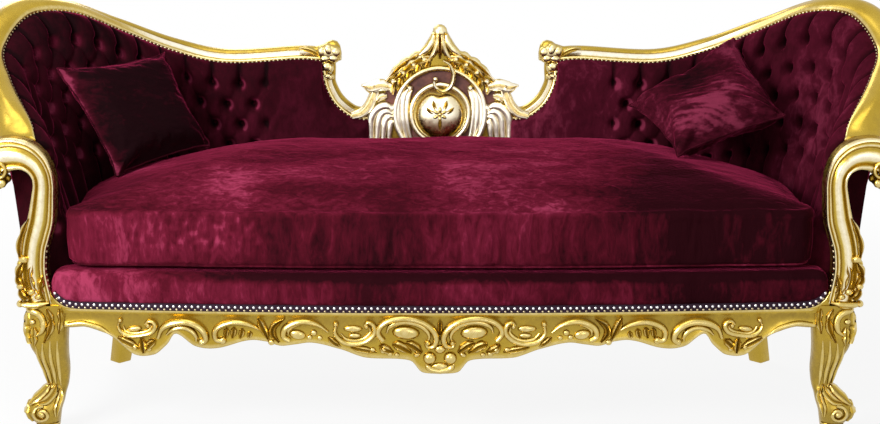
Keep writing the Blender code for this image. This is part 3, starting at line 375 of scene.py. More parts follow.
def crushedPileGroup():  # velvet: the lay of the pile in broad patches, and streaks where it is crushed
    group, first, last = newGroup(
        "crushedPile", [("Vector", "NodeSocketVector", None), ("Patch", "NodeSocketFloat", 3.0),
                        ("Streak", "NodeSocketFloat", 26.0), ("Contrast", "NodeSocketFloat", 1.0)],
        [("Tone", "NodeSocketFloat"), ("Height", "NodeSocketFloat")])
    vector, patch, streak = (first.outputs[label] for label in ("Vector", "Patch", "Streak"))
    layAndLight = addNoise(group, vector, patch, 2.5, 0.5, 0.7)
    torn = addNoise(group, vector, streak, 4.0, 0.58, 1.1)
    fine = addNoise(group, vector, addMath(group, "MULTIPLY", streak, 3.6), 3.0, 0.6, 0.6)
    pile = addNoise(group, vector, 640.0, 2.0)
    tone = addSum(group, (layAndLight, 0.50), (torn, 0.34), (fine, 0.16))
    tone = addMath(group, "SUBTRACT", addRange(group, tone, 0.385, 0.645), 0.45)
    tone = addMath(group, "ADD", addMath(group, "MULTIPLY", tone, first.outputs["Contrast"]), 0.45)
    group.links.new(tone, last.inputs["Tone"])
    group.links.new(addSum(group, (torn, 0.6), (fine, 0.26), (pile, 0.05)), last.inputs["Height"])
    return group


def leafWearAndLightGroup():  # gold leaf: brown glaze in the hollows, pale rubbed crests, and a painted near-white highlight where the crest passes 1
    group, first, last = newGroup(
        "leafWearAndLight", [("Vector", "NodeSocketVector", None), ("Crest", "NodeSocketFloat", 0.5)],
        [("Colour", "NodeSocketColor"), ("Roughness", "NodeSocketFloat"), ("Metal", "NodeSocketFloat"),
         ("Height", "NodeSocketFloat")])
    vector, crest = first.outputs["Vector"], first.outputs["Crest"]
    cloud = addNoise(group, vector, 9.0, 4.0, 0.6)
    speck = addNoise(group, vector, 85.0, 5.0, 0.65)
    brush = addNoise(group, vector, 30.0, 3.0, 0.5, 0.6)
    glaze = addMath(group, "SUBTRACT", 0.66, crest)
    glaze = addMath(group, "ADD", glaze, addRange(group, cloud, 0.3, 0.7, -0.16, 0.22))
    glaze = addMath(group, "ADD", glaze, addRange(group, speck, 0.3, 0.7, -0.12, 0.12), clamp=True)
    wearAndLight = addMath(group, "MULTIPLY", addRange(group, crest, 0.78, 1.08),
                  addRange(group, speck, 0.3, 0.62, 0.4, 1.0))
    leaf = addRamp(group, cloud, [(0.25, (0.42, 0.272, 0.026)), (0.75, (0.58, 0.405, 0.058))])
    shade = addMix(group, glaze, leaf, (0.115, 0.058, 0.012, 1))
    worn = addMix(group, addMath(group, "MULTIPLY", wearAndLight, 0.66), shade, (0.97, 0.84, 0.46, 1))
    # painted highlight: crests past 1 turn the gold near-white
    highlightPaint = addMath(group, "MULTIPLY", addRange(group, crest, 1.0, 1.5),
                   addRange(group, speck, 0.2, 0.5, 0.7, 0.95))
    group.links.new(addMix(group, highlightPaint, worn, (1.0, 0.94, 0.80, 1)), last.inputs["Colour"])
    rough = addMath(group, "ADD", addRange(group, speck, 0.3, 0.7, 0.20, 0.32),
                    addSum(group, (glaze, 0.22), (highlightPaint, 0.12)))
    group.links.new(rough, last.inputs["Roughness"])
    group.links.new(addRange(group, glaze, 0.0, 1.0, 1.0, 0.6), last.inputs["Metal"])
    group.links.new(addSum(group, (brush, 0.7), (speck, 0.3)), last.inputs["Height"])
    return group


def weaveGroup():  # plain weave of coarse yarn
    group, first, last = newGroup(
        "plainWeave", [("Vector", "NodeSocketVector", None), ("Threads", "NodeSocketFloat", 600.0)],
        [("Weave", "NodeSocketFloat"), ("Slub", "NodeSocketFloat")])
    vector, threads = first.outputs["Vector"], first.outputs["Threads"]
    waves = []
    for axis in ("X", "Y", "Z"):
        wave = addNode(group, "ShaderNodeTexWave", {"Vector": vector, "Scale": threads, "Distortion": 0.6},
                       bands_direction=axis)
        waves.append(wave.outputs["Fac"])
    weave = addMath(group, "MAXIMUM", addMath(group, "MAXIMUM", waves[0], waves[1]), waves[2])
    group.links.new(weave, last.inputs["Weave"])
    group.links.new(addNoise(group, vector, 60.0, 3.0), last.inputs["Slub"])
    return group


crushedPile, leafWearAndLight, plainWeave = crushedPileGroup(), leafWearAndLightGroup(), weaveGroup()


def newMaterial(name, **values):
    material = bpy.data.materials.new(name)
    material.use_nodes = True
    tree = material.node_tree
    shader = tree.nodes["Principled BSDF"]
    for label, value in values.items():
        shader.inputs[label.replace("_", " ")].default_value = value
    spot = addNode(tree, "ShaderNodeTexCoord").outputs["Object"]
    return material, tree, shader, spot


def placeGroup(tree, group, **values):
    return addNode(tree, "ShaderNodeGroup", values, node_tree=group)


def bumpTo(tree, shader, height, strength, distance):
    bump = addNode(tree, "ShaderNodeBump", {"Height": height, "Strength": strength, "Distance": distance})
    tree.links.new(bump.outputs["Normal"], shader.inputs["Normal"])


def velvetMaterial(name, stretch, patch, streak, stops, contrast, strength, sheen):
    material, tree, shader, spot = newMaterial(
        name, Roughness=0.72, Sheen_Weight=sheen, Sheen_Roughness=0.30, Sheen_Tint=(0.80, 0.055, 0.185, 1),
        Specular_IOR_Level=0.0)
    mapping = addNode(tree, "ShaderNodeMapping", {"Vector": spot, "Scale": stretch})
    pile = placeGroup(tree, crushedPile, Vector=mapping.outputs[0], Patch=patch, Streak=streak,
                      Contrast=contrast)
    # painted light and shade: a per-point attribute, set with each soft piece, lightens or darkens the
    # velvet's tone
    layAndLight = addNode(tree, "ShaderNodeAttribute", attribute_name="layAndLight").outputs["Fac"]
    tone = addMath(tree, "ADD", pile.outputs["Tone"], layAndLight, clamp=True)
    tree.links.new(addRamp(tree, tone, stops), shader.inputs["Base Color"])
    tree.links.new(addRange(tree, tone, 0.0, 1.0, 0.9, 0.7), shader.inputs["Roughness"])
    bumpTo(tree, shader, pile.outputs["Height"], strength, 0.008)
    return material


def goldMaterial():
    material, tree, shader, spot = newMaterial("goldLeaf", Metallic=1.0, Coat_Weight=0.12,
                                               Coat_Roughness=0.14)
    crest = addNode(tree, "ShaderNodeAttribute", attribute_name="crest").outputs["Fac"]
    leaf = placeGroup(tree, leafWearAndLight, Vector=spot, Crest=crest)
    for label, socket in (("Colour", "Base Color"), ("Roughness", "Roughness"), ("Metal", "Metallic")):
        tree.links.new(leaf.outputs[label], shader.inputs[socket])
    bumpTo(tree, shader, leaf.outputs["Height"], 0.2, 0.0014)
    return material


def clothMaterial(name, threads, dark, highlightPaint, roughness=0.95):
    material, tree, shader, spot = newMaterial(name, Roughness=roughness, Specular_IOR_Level=0.15)
    cloth = placeGroup(tree, plainWeave, Vector=spot, Threads=threads)
    tone = addSum(tree, (cloth.outputs["Weave"], 0.6), (cloth.outputs["Slub"], 0.4))
    tree.links.new(addRamp(tree, tone, [(0.2, dark), (0.85, highlightPaint)]), shader.inputs["Base Color"])
    bumpTo(tree, shader, cloth.outputs["Weave"], 0.5, 0.0008)
    return material


def beechMaterial():
    material, tree, shader, spot = newMaterial("beechWood", Roughness=0.6)
    mapping = addNode(tree, "ShaderNodeMapping", {"Vector": spot, "Scale": (3.0, 14.0, 14.0)})
    grain = addNoise(tree, mapping.outputs[0], 6.0, 5.0, 0.6, 1.4)
    fleck = addNoise(tree, mapping.outputs[0], 70.0, 2.0)
    stops = [(0.3, (0.36, 0.20, 0.10)), (0.7, (0.62, 0.42, 0.25))]
    tone = addSum(tree, (grain, 0.75), (fleck, 0.25))
    tree.links.new(addRamp(tree, tone, stops), shader.inputs["Base Color"])
    bumpTo(tree, shader, fleck, 0.2, 0.0005)
    return material


def nickelMaterial(name, dark, bright, rough):
    material, tree, shader, spot = newMaterial(name, Metallic=1.0)
    scuff = addNoise(tree, spot, 180.0, 4.0, 0.7)
    tree.links.new(addRamp(tree, scuff, [(0.3, dark), (0.6, bright)]), shader.inputs["Base Color"])
    tree.links.new(addRange(tree, scuff, 0.3, 0.7, rough, rough + 0.16), shader.inputs["Roughness"])
    bumpTo(tree, shader, scuff, 0.1, 0.0003)
    return material


def boleMaterial():  # the red clay ground under the gold, darkened as painted shadow, seen in the deep hollows and openings
    material, tree, shader, spot = newMaterial("boleAndShadowGround", Roughness=0.55)
    cloud = addNoise(tree, spot, 30.0, 5.0, 0.65)
    stops = [(0.3, (0.060, 0.013, 0.011)), (0.7, (0.24, 0.080, 0.054))]
    tree.links.new(addRamp(tree, cloud, stops), shader.inputs["Base Color"])
    bumpTo(tree, shader, cloud, 0.3, 0.001)
    return material


wine = [(0.0, (0.022, 0.0034, 0.0056)), (0.4, (0.076, 0.0058, 0.0135)), (0.7, (0.140, 0.0105, 0.028)),
        (1.0, (0.32, 0.036, 0.086))]
# painted shade: a darker copy of the seat's velvet colours, for the back, wings and pillows
shadedWine = [(0.0, (0.010, 0.0032, 0.0042)), (0.4, (0.036, 0.0040, 0.0082)), (0.7, (0.074, 0.0066, 0.0170)),
            (1.0, (0.22, 0.027, 0.062))]
seatVelvet = velvetMaterial("seatVelvet", (1.0, 1.8, 0.34), 3.2, 30.0, wine, 0.85, 0.55, 0.50)
backVelvet = velvetMaterial("backVelvet", (1.0, 1.0, 0.55), 3.6, 26.0, shadedWine, 0.50, 0.30, 0.65)
pillowVelvet = velvetMaterial("pillowVelvet", (0.8, 1.0, 1.5), 5.0, 30.0, shadedWine, 0.75, 0.60, 0.65)
goldLeaf, beechWood, boleAndShadowGround = goldMaterial(), beechMaterial(), boleMaterial()
nickelNail = nickelMaterial("nickelNail", (0.50, 0.48, 0.50), (0.88, 0.86, 0.86), 0.14)
agedNail = nickelMaterial("agedNail", (0.22, 0.16, 0.08), (0.52, 0.43, 0.27), 0.26)
hessianCloth = clothMaterial("hessianCloth", 240.0, (0.20, 0.13, 0.07), (0.52, 0.39, 0.24))
juteWebbing = clothMaterial("juteWebbing", 180.0, (0.24, 0.19, 0.12), (0.58, 0.49, 0.35))
blackCambric = clothMaterial("blackCambric", 700.0, (0.006, 0.006, 0.007), (0.03, 0.03, 0.032))
violetGimp = clothMaterial("violetGimp", 420.0, (0.008, 0.004, 0.007), (0.040, 0.019, 0.034))
print("settee: materials ready")


# camera, light and floor

# the picture's width and the focal length are in pixels
studio = {"eye": (0, -5.17, 1.609), "tilt": 77.5, "sensor": 36, "pictureWide": 880, "focus": 2110.1,
          "floor": 6.0, "glow": 0.90, "fadeFrom": 1.6, "fadeTo": 2.8, "ambient": 0.22, "aim": (0, 0, 0.55)}
cameraData = bpy.data.cameras.new("camera")
cameraData.lens = studio["sensor"] * studio["focus"] / studio["pictureWide"]
cameraData.sensor_width = studio["sensor"]
camera = bpy.data.objects.new("camera", cameraData)
camera.location = studio["eye"]
camera.rotation_euler = (math.radians(studio["tilt"]), 0, 0)
scene.collection.objects.link(camera)
scene.camera = camera

bpy.ops.mesh.primitive_plane_add(size=studio["floor"], location=(0, 0, 0))
floor = bpy.context.active_object
floor.name = "floor"


def shownRay(tree):  # 1 for rays from the camera, mirrors and glass
    path = addNode(tree, "ShaderNodeLightPath").outputs
    seen = addMath(tree, "MAXIMUM", path["Is Camera Ray"], path["Is Glossy Ray"])
    return addMath(tree, "MAXIMUM", seen, path["Is Transmission Ray"])


floorMaterial = bpy.data.materials.new("paleFloor")
floorMaterial.use_nodes = True
floorTree = floorMaterial.node_tree
floorTree.nodes.clear()
matt = addNode(floorTree, "ShaderNodeBsdfDiffuse", {"Color": (0.88, 0.88, 0.88, 1)})
glow = addNode(floorTree, "ShaderNodeEmission", {"Color": (1, 1, 1, 1), "Strength": 1.0})
floorSpot = addNode(floorTree, "ShaderNodeTexCoord").outputs["Object"]
spread = addNode(floorTree, "ShaderNodeVectorMath", {0: floorSpot}, operation="LENGTH").outputs["Value"]
# the floor's edge is lost in the white
fade = addRange(floorTree, spread, studio["fadeFrom"], studio["fadeTo"], studio["glow"], 1.0)
shown = addMath(floorTree, "MULTIPLY", shownRay(floorTree), fade)
blend = addNode(floorTree, "ShaderNodeMixShader", {0: shown, 1: matt.outputs[0], 2: glow.outputs[0]})
floorTree.links.new(blend.outputs[0], addNode(floorTree, "ShaderNodeOutputMaterial").inputs["Surface"])
floor.data.materials.append(floorMaterial)

world = bpy.data.worlds.new("studio")
scene.world = world
world.use_nodes = True
sky = world.node_tree.nodes["Background"]
sky.inputs["Color"].default_value = (1, 1, 1, 1)
skyLevel = addRange(world.node_tree, shownRay(world.node_tree), 0.0, 1.0, studio["ambient"], 1.0)
world.node_tree.links.new(skyLevel, sky.inputs["Strength"])

lamps = {"keyLamp": ((-2.0, -2.3, 1.9), 1.2, 92), "fillLamp": ((1.2, -4.6, 2.0), 2.0, 22),
         "topLamp": ((-0.5, -0.9, 3.2), 2.0, 26), "rimLamp": ((-1.4, 3.2, 2.6), 1.8, 40)}
for lampName, (place, size, watts) in lamps.items():
    lampData = bpy.data.lights.new(lampName, "AREA")
    lampData.size = size
    lampData.energy = watts
    lamp = bpy.data.objects.new(lampName, lampData)
    lamp.location = place
    lamp.rotation_euler = (Vector(studio["aim"]) - Vector(place)).to_track_quat("-Z", "Y").to_euler()
    scene.collection.objects.link(lamp)
print("settee: camera, lamps and floor ready")


# carved front rail

apron = {"front": -0.368, "bow": 0.042, "field": 0.0055, "steps": 300, "plump": 1.32, "rise": 1.25,
         "lap": 0.007}
apronOutline = [(0.000, 0.157), (0.050, 0.152), (0.075, 0.126), (0.110, 0.120), (0.200, 0.117),
                (0.262, 0.098), (0.340, 0.082), (0.392, 0.087), (0.427, 0.090), (0.465, 0.080),
                (0.512, 0.078), (0.597, 0.098), (0.655, 0.094), (0.708, 0.064), (0.730, 0.090),
                (0.765, 0.116), (0.820, 0.117), (0.875, 0.078), (0.925, 0.053), (1.000, 0.055)]


def apronFace(x):
    return apron["front"] - apron["bow"] * (1 - (x / settee["railHalf"]) ** 2)


def apronDrop(share):
    for i, (a, b) in enumerate(zip(apronOutline, apronOutline[1:])):
        if share <= b[0]:
            return through([(*p, 0) for p in apronOutline], i + (share - a[0]) / (b[0] - a[0])).y
    return apronOutline[-1][1]


def apronHost(x, drop, lift):
    return Vector((x, apronFace(x) + apron["field"] - lift, settee["railTop"] - drop))


# depth behind the face, height below the top or above the carved edge, and rub
apronTop = [(0.040, 0.0, 0.3), (0.008, 0.0, 0.4), (0.0035, -0.0012, 0.8), (0.0010, -0.0045, 1),
            (0.0004, -0.009, 1), (0.0018, -0.0135, 0.8), (0.0042, -0.0175, 0.45), (0.0058, -0.0225, 0.35)]
apronField = [(0.0064, 0.3, 0.4), (0.0052, 0.6, 0.5), (0.0034, 0.85, 0.65)]
apronLow = [(0.0016, 0.0085, 0.9), (0.0012, 0.0050, 1), (0.0034, 0.0016, 0.8), (0.009, 0.0, 0.3),
            (0.040, 0.0, 0.3)]
apronScrolls = [  # keys as distance from the middle and drop, then width, height, form, ends, inner ridge
    ([(0.1335, 0.074), (0.1455, 0.056), (0.1375, 0.037), (0.1145, 0.024), (0.0815, 0.020), (0.0445, 0.028),
      (0.0185, 0.046), (0.0085, 0.068), (0.0145, 0.086), (0.0285, 0.089), (0.0345, 0.078)],
     0.0130, 0.0110, "round", (0.9, 0.55), 0.27),
    ([(0.2435, 0.036), (0.2455, 0.058), (0.2275, 0.077), (0.1995, 0.082), (0.1715, 0.074), (0.1540, 0.056),
      (0.1560, 0.037), (0.1690, 0.030), (0.1760, 0.038)],
     0.0110, 0.0100, "round", (0.6, 0.6), 0.24),
    ([(0.3530, 0.075), (0.3670, 0.065), (0.3630, 0.046), (0.3400, 0.032), (0.3130, 0.029), (0.2850, 0.037),
      (0.2620, 0.054)],
     0.0125, 0.0105, "round", (0.9, 0.4), 0.25),
    ([(0.4260, 0.022), (0.4155, 0.044), (0.4015, 0.076)], 0.0150, 0.0100, "leaf", (0.4, 0.35), 0),
    ([(0.3640, 0.022), (0.3885, 0.040), (0.3925, 0.060), (0.3775, 0.080)],
     0.0140, 0.0100, "leaf", (0.35, 0.4), 0),
    ([(0.5105, 0.078), (0.5265, 0.074), (0.5285, 0.055), (0.5145, 0.041), (0.4875, 0.032), (0.4605, 0.034),
      (0.4325, 0.044), (0.4165, 0.056)],
     0.0120, 0.0110, "round", (0.9, 0.35), 0),
    ([(0.5000, 0.046), (0.5020, 0.058), (0.5040, 0.072)], 0.0110, 0.0060, "leaf", (0.3, 0.4), 0),
    ([(0.4835, 0.044), (0.4845, 0.056), (0.4885, 0.072)], 0.0120, 0.0065, "leaf", (0.3, 0.4), 0),
    ([(0.4645, 0.047), (0.4655, 0.058), (0.4705, 0.073)], 0.0120, 0.0065, "leaf", (0.3, 0.4), 0),
    ([(0.4455, 0.053), (0.4465, 0.062), (0.4525, 0.073)], 0.0105, 0.0055, "leaf", (0.3, 0.4), 0),
    ([(0.6640, 0.074), (0.6540, 0.051), (0.6305, 0.037), (0.5985, 0.033), (0.5725, 0.041), (0.5555, 0.056),
      (0.5505, 0.074), (0.5600, 0.083)],
     0.0150, 0.0120, "round", (0.5, 0.8), 0),
    ([(0.6440, 0.066), (0.6300, 0.053), (0.6060, 0.047), (0.5855, 0.054), (0.5735, 0.068), (0.5735, 0.080)],
     0.0105, 0.0085, "round", (0.4, 0.6), 0),
    ([(0.7530, 0.033), (0.7580, 0.046), (0.7500, 0.061), (0.7310, 0.069), (0.7030, 0.067), (0.6800, 0.060),
      (0.6700, 0.047), (0.6740, 0.036), (0.6850, 0.033), (0.6930, 0.041)],
     0.0110, 0.0105, "round", (0.35, 0.6), 0.24),
    ([(0.7600, 0.074), (0.7370, 0.086), (0.7080, 0.100)], 0.0170, 0.0090, "leaf", (0.4, 0.35), 0),
    ([(0.6700, 0.078), (0.6830, 0.089), (0.6960, 0.104)], 0.0160, 0.0090, "leaf", (0.4, 0.35), 0),
    ([(0.7030, 0.076), (0.7010, 0.092), (0.6990, 0.112)], 0.0150, 0.0110, "leaf", (0.5, 0.4), 0),
    ([(0.8790, 0.047), (0.8420, 0.043), (0.8020, 0.053), (0.7720, 0.070)],
     0.0110, 0.0075, "round", (0.9, 0.4), 0),
    ([(0.1420, 0.084), (0.1290, 0.094), (0.1080, 0.102)], 0.0170, 0.0095, "leaf", (0.4, 0.3), 0),
    ([(0.1120, 0.082), (0.0920, 0.088), (0.0660, 0.104)], 0.0190, 0.0100, "leaf", (0.4, 0.3), 0),
    ([(0.0800, 0.078), (0.0600, 0.088), (0.0420, 0.103)], 0.0170, 0.0105, "leaf", (0.4, 0.35), 0),
    ([(0.2100, 0.090), (0.1820, 0.096), (0.1480, 0.102)], 0.0150, 0.0075, "leaf", (0.35, 0.3), 0),
    ([(0.2620, 0.066), (0.2500, 0.078), (0.2320, 0.090)], 0.0130, 0.0075, "leaf", (0.4, 0.3), 0),
    ([(0.0330, 0.130), (0.0220, 0.142), (0.0000, 0.147)], 0.0130, 0.0100, "round", (0.5, 0.9), 0),
]
apronBosses = [  # distance from the middle, drop, half length, half height, rise, turn
    (0.0800, 0.055, 0.0330, 0.0170, 0.0125, -4), (0.0240, 0.116, 0.0165, 0.0160, 0.0170, 0),
    (0.2440, 0.035, 0.0075, 0.0075, 0.0120, 0), (0.1720, 0.040, 0.0070, 0.0070, 0.0125, 0),
    (0.0290, 0.079, 0.0075, 0.0075, 0.0135, 0), (0.2040, 0.046, 0.0230, 0.0085, 0.0080, 0),
    (0.2000, 0.062, 0.0160, 0.0065, 0.0085, 0), (0.3340, 0.061, 0.0210, 0.0125, 0.0105, -10),
    (0.2960, 0.056, 0.0085, 0.0080, 0.0090, 0), (0.3060, 0.067, 0.0075, 0.0070, 0.0085, 0),
    (0.2820, 0.068, 0.0070, 0.0065, 0.0080, 0), (0.5110, 0.077, 0.0100, 0.0100, 0.0130, 0),
    (0.5600, 0.081, 0.0095, 0.0095, 0.0125, 0), (0.7200, 0.053, 0.0190, 0.0075, 0.0090, 8),
    (0.6870, 0.044, 0.0075, 0.0075, 0.0125, 0), (0.7530, 0.033, 0.0065, 0.0065, 0.0100, 0),
    (0.3960, 0.080, 0.0085, 0.0080, 0.0095, 0), (0.1330, 0.098, 0.0090, 0.0085, 0.0105, 0),
    (0.1180, 0.106, 0.0080, 0.0075, 0.0095, 0), (0.1010, 0.108, 0.0070, 0.0065, 0.0090, 0),
    (0.0540, 0.108, 0.0090, 0.0070, 0.0110, 20), (0.7200, 0.098, 0.0075, 0.0075, 0.0085, 0),
    (0.6860, 0.101, 0.0075, 0.0070, 0.0085, 0), (0.1580, 0.096, 0.0080, 0.0060, 0.0080, 0),
]


def drawnIn(keys, pull):  # the same line, drawn towards its middle
    middle = sum((Vector(k) for k in keys), Vector((0, 0))) / len(keys)
    return [tuple(Vector(k).lerp(middle, pull)) for k in keys[1:-2]]


def carveFrontRail():
    rail = newCarving()
    rings, crests = [], []
    half, top = settee["railHalf"], settee["railTop"]
    for i in range(apron["steps"] + 1):
        x = (half + apron["lap"]) * (2 * i / apron["steps"] - 1)  # the ends lap into the legs
        face, low = apronFace(x), top - apronDrop(abs(x) / half)
        ring = [Vector((x, face + d, top + h)) for d, h, _ in apronTop]
        high, foot = top + apronTop[-1][1], low + apronLow[0][1]
        ring += [Vector((x, face + d, high + (foot - high) * h)) for d, h, _ in apronField]
        ring += [Vector((x, face + d, low + h)) for d, h, _ in apronLow]
        rings.append(ring)
        crests.append([wearAndLight for _, _, wearAndLight in apronTop + apronField + apronLow])
    addRings(rail, rings, crests)
    for side in (-1, 1):
        def host(d, drop, lift):
            return apronHost(side * d, drop, lift)
        for keys, wide, high, form, ends, inner in apronScrolls:
            carveStroke(rail, host, keys, wide * apron["plump"], high * apron["rise"], form, ends)
            if inner:
                carveStroke(rail, host, drawnIn(keys, inner), wide * 1.1, high * 0.75, "round", (0.4, 0.4))
        carveBalls(rail, host, apronBosses)
    carveStroke(rail, apronHost, [(0, 0.024), (0, 0.040), (0, 0.060)], 0.013, 0.0100, "leaf", (0.3, 0.4))
    carveBall(rail, apronHost, 0, 0.095, 0.014, 0.011, 0.0115)
    carveBall(rail, apronHost, 0, 0.136, 0.022, 0.0100, 0.012)
    carved("frontRail", rail, ["front_rail"])


carveFrontRail()
print("settee: front rail carved")


# front legs

# painted shade: the low value of 0.40 gives the legs more brown glaze, darker gold than the posts
leg = {"sections": 60, "points": 48, "wearAndLight": 0.40}
legStations = [  # height, shift outward, shift forward, half width, half depth, squareness
    (0.000, 0.010, 0.012, 0.0215, 0.024, 2.4), (0.021, 0.010, 0.012, 0.026, 0.028, 2.4),
    (0.043, 0.016, 0.018, 0.036, 0.036, 2.4), (0.061, 0.018, 0.019, 0.041, 0.040, 2.4),
    (0.081, 0.012, 0.012, 0.041, 0.039, 2.4), (0.098, 0.003, 0.002, 0.035, 0.034, 2.4),
    (0.118, -0.011, -0.009, 0.026, 0.028, 2.3), (0.152, -0.009, -0.010, 0.032, 0.032, 2.3),
    (0.188, -0.003, -0.001, 0.038, 0.037, 2.5), (0.219, 0.003, 0.006, 0.045, 0.041, 2.6),
    (0.248, 0.003, 0.005, 0.0465, 0.0400, 2.8), (0.285, 0.001, 0.001, 0.0465, 0.0370, 3.2),
    (0.318, 0.0, 0.0, 0.0455, 0.0355, 3.6)]
legHeights = [row[0] for row in legStations]


def legRow(z):
    return [float(np.interp(z, legHeights, [row[c] for row in legStations])) for c in range(1, 6)]


def legHost(x, z, lift):  # the front of the leg, seen from the front: x goes outward from the leg's middle
    out, ahead, halfX, halfY, square = legRow(z)
    s = max(-0.995, min(0.995, (x - out) / halfX))
    deep = (1 - abs(s) ** square) ** (1 / square)
    slope = math.copysign(abs(s) ** (square - 1), s) / halfX
    normal = Vector((slope, -(deep ** (square - 1)) / halfY, 0)).normalized()
    spot = Vector((settee["sideHalf"] + out + s * halfX, settee["legY"] - ahead - deep * halfY, z))
    return spot + normal * lift


def legSideHost(y, z, lift):  # the outer side of the leg: y goes backward from the leg's middle
    out, ahead, halfX, halfY, square = legRow(z)
    s = max(-0.995, min(0.995, (y + ahead) / halfY))
    deep = (1 - abs(s) ** square) ** (1 / square)
    return Vector((settee["sideHalf"] + out + deep * halfX + lift, settee["legY"] - ahead + s * halfY, z))


legStrokes = [  # keys outward and up on the front of the leg, width, height, form, ends, lobes
    ([(0.058, 0.304), (0.038, 0.306), (0.019, 0.299), (0.009, 0.280), (0.013, 0.259), (0.029, 0.247)],
     0.0170, 0.0105, "round", (0.5, 0.4), 0),
    ([(0.050, 0.300), (0.056, 0.276), (0.052, 0.252), (0.042, 0.226)], 0.0260, 0.0140, "leaf", (0.5, 0.3), 3),
    ([(0.000, 0.312), (-0.010, 0.284), (-0.004, 0.256), (0.008, 0.232)],
     0.0200, 0.0090, "leaf", (0.5, 0.3), 3),
    ([(0.030, 0.268), (0.030, 0.248), (0.030, 0.224)], 0.0180, 0.0100, "leaf", (0.5, 0.3), 2),
    ([(-0.028, 0.312), (-0.030, 0.284), (-0.026, 0.252)], 0.0150, 0.0070, "leaf", (0.5, 0.3), 2),
    ([(-0.022, 0.236), (-0.020, 0.190), (-0.020, 0.150), (-0.022, 0.118)],
     0.0095, 0.0036, "round", (0.3, 0.3), 0),
    ([(-0.006, 0.236), (-0.004, 0.190), (-0.008, 0.150), (-0.012, 0.116)],
     0.0105, 0.0040, "round", (0.3, 0.3), 0),
    ([(0.012, 0.230), (0.013, 0.190), (0.005, 0.150), (-0.002, 0.116)],
     0.0105, 0.0040, "round", (0.3, 0.3), 0),
    ([(0.028, 0.222), (0.026, 0.186), (0.017, 0.150), (0.008, 0.118)],
     0.0085, 0.0034, "round", (0.3, 0.3), 0),
    ([(-0.014, 0.122), (-0.006, 0.104), (0.008, 0.090), (0.026, 0.084)],
     0.0200, 0.0095, "leaf", (0.35, 0.5), 0),
    ([(0.000, 0.124), (0.014, 0.108), (0.030, 0.094), (0.046, 0.080)],
     0.0180, 0.0095, "leaf", (0.35, 0.5), 0),
    ([(-0.022, 0.112), (-0.020, 0.092), (-0.014, 0.072), (-0.012, 0.050)],
     0.0150, 0.0075, "leaf", (0.35, 0.4), 0),
    ([(0.050, 0.074), (0.056, 0.058), (0.052, 0.042), (0.042, 0.034)],
     0.0160, 0.0090, "round", (0.6, 0.5), 0),
    ([(-0.016, 0.030), (0.010, 0.024), (0.036, 0.026)], 0.0100, 0.0040, "round", (0.5, 0.5), 0),
]
legSideStrokes = [
    ([(0.026, 0.306), (0.022, 0.276), (0.010, 0.246), (-0.006, 0.220)],
     0.0240, 0.0100, "leaf", (0.5, 0.3), 3),
    ([(-0.012, 0.306), (-0.018, 0.276), (-0.018, 0.250), (-0.012, 0.224)],
     0.0200, 0.0090, "leaf", (0.5, 0.3), 2),
    ([(0.008, 0.222), (0.004, 0.180), (0.004, 0.140)], 0.0100, 0.0040, "round", (0.3, 0.3), 0),
]
# the rail's upper edge, swept up to the arm post
legSweep = [(0.862, 0.3165, 0), (0.880, 0.3192, 0), (0.895, 0.3262, 0), (0.907, 0.3375, 0), (0.917, 0.354, 0)]
legSweepRub = [0.7, 1, 0.6, 0.5, 0.3, 0.3]


def carveLeg(label, side):
    shape = newCarving()
    rings, crests = [], []
    for i in range(leg["sections"] + 1):
        t = i / leg["sections"] * (len(legStations) - 1)
        row = [through([(r[0], r[c], 0) for r in legStations], t) for c in range(1, 6)]
        z = max(0.0, min(row[0].x, settee["railTop"]))
        out, ahead, halfX, halfY, square = (p.y for p in row)
        ring = []
        for angle in roundTurn(leg["points"]):
            c, s = math.cos(angle), math.sin(angle)
            x = math.copysign(abs(c) ** (2 / square), c) * halfX
            y = math.copysign(abs(s) ** (2 / square), s) * halfY
            ring.append(Vector((settee["sideHalf"] + out + x, settee["legY"] - ahead + y, z)))
        rings.append(ring)
        crests.append([leg["wearAndLight"]] * leg["points"])
    addRings(shape, rings, crests)
    for host, strokes in ((legHost, legStrokes), (legSideHost, legSideStrokes)):
        for row in strokes:
            carveStroke(shape, host, *row, each=10)
    carveVolute(shape, legHost, 0.018, 0.058, 0.021, 1.5, 100, 0.0100, 0.0085, -1, 0.0078)
    carveVolute(shape, legSideHost, -0.014, 0.060, 0.020, 1.4, 85, 0.0095, 0.0060, 1, 0.0070)
    carveBall(shape, legHost, 0.040, 0.3165, 0.0270, 0.0075, 0.0120)
    carveBall(shape, legHost, 0.034, 0.280, 0.0070, 0.0070, 0.0080)
    rings = []
    for x, z, _ in smoothPath(legSweep):
        section = [(-0.3675, z), (-0.3695, z - 0.004), (-0.3675, z - 0.010),
                   (-0.3660, 0.300), (-0.3480, 0.300), (-0.3480, z)]
        rings.append([Vector((x, y, h)) for y, h in section])
    addRings(shape, rings, [legSweepRub] * len(rings))
    carved(f"frontLeg{label}", shape, [f"front_leg_{label.lower()}"], side)
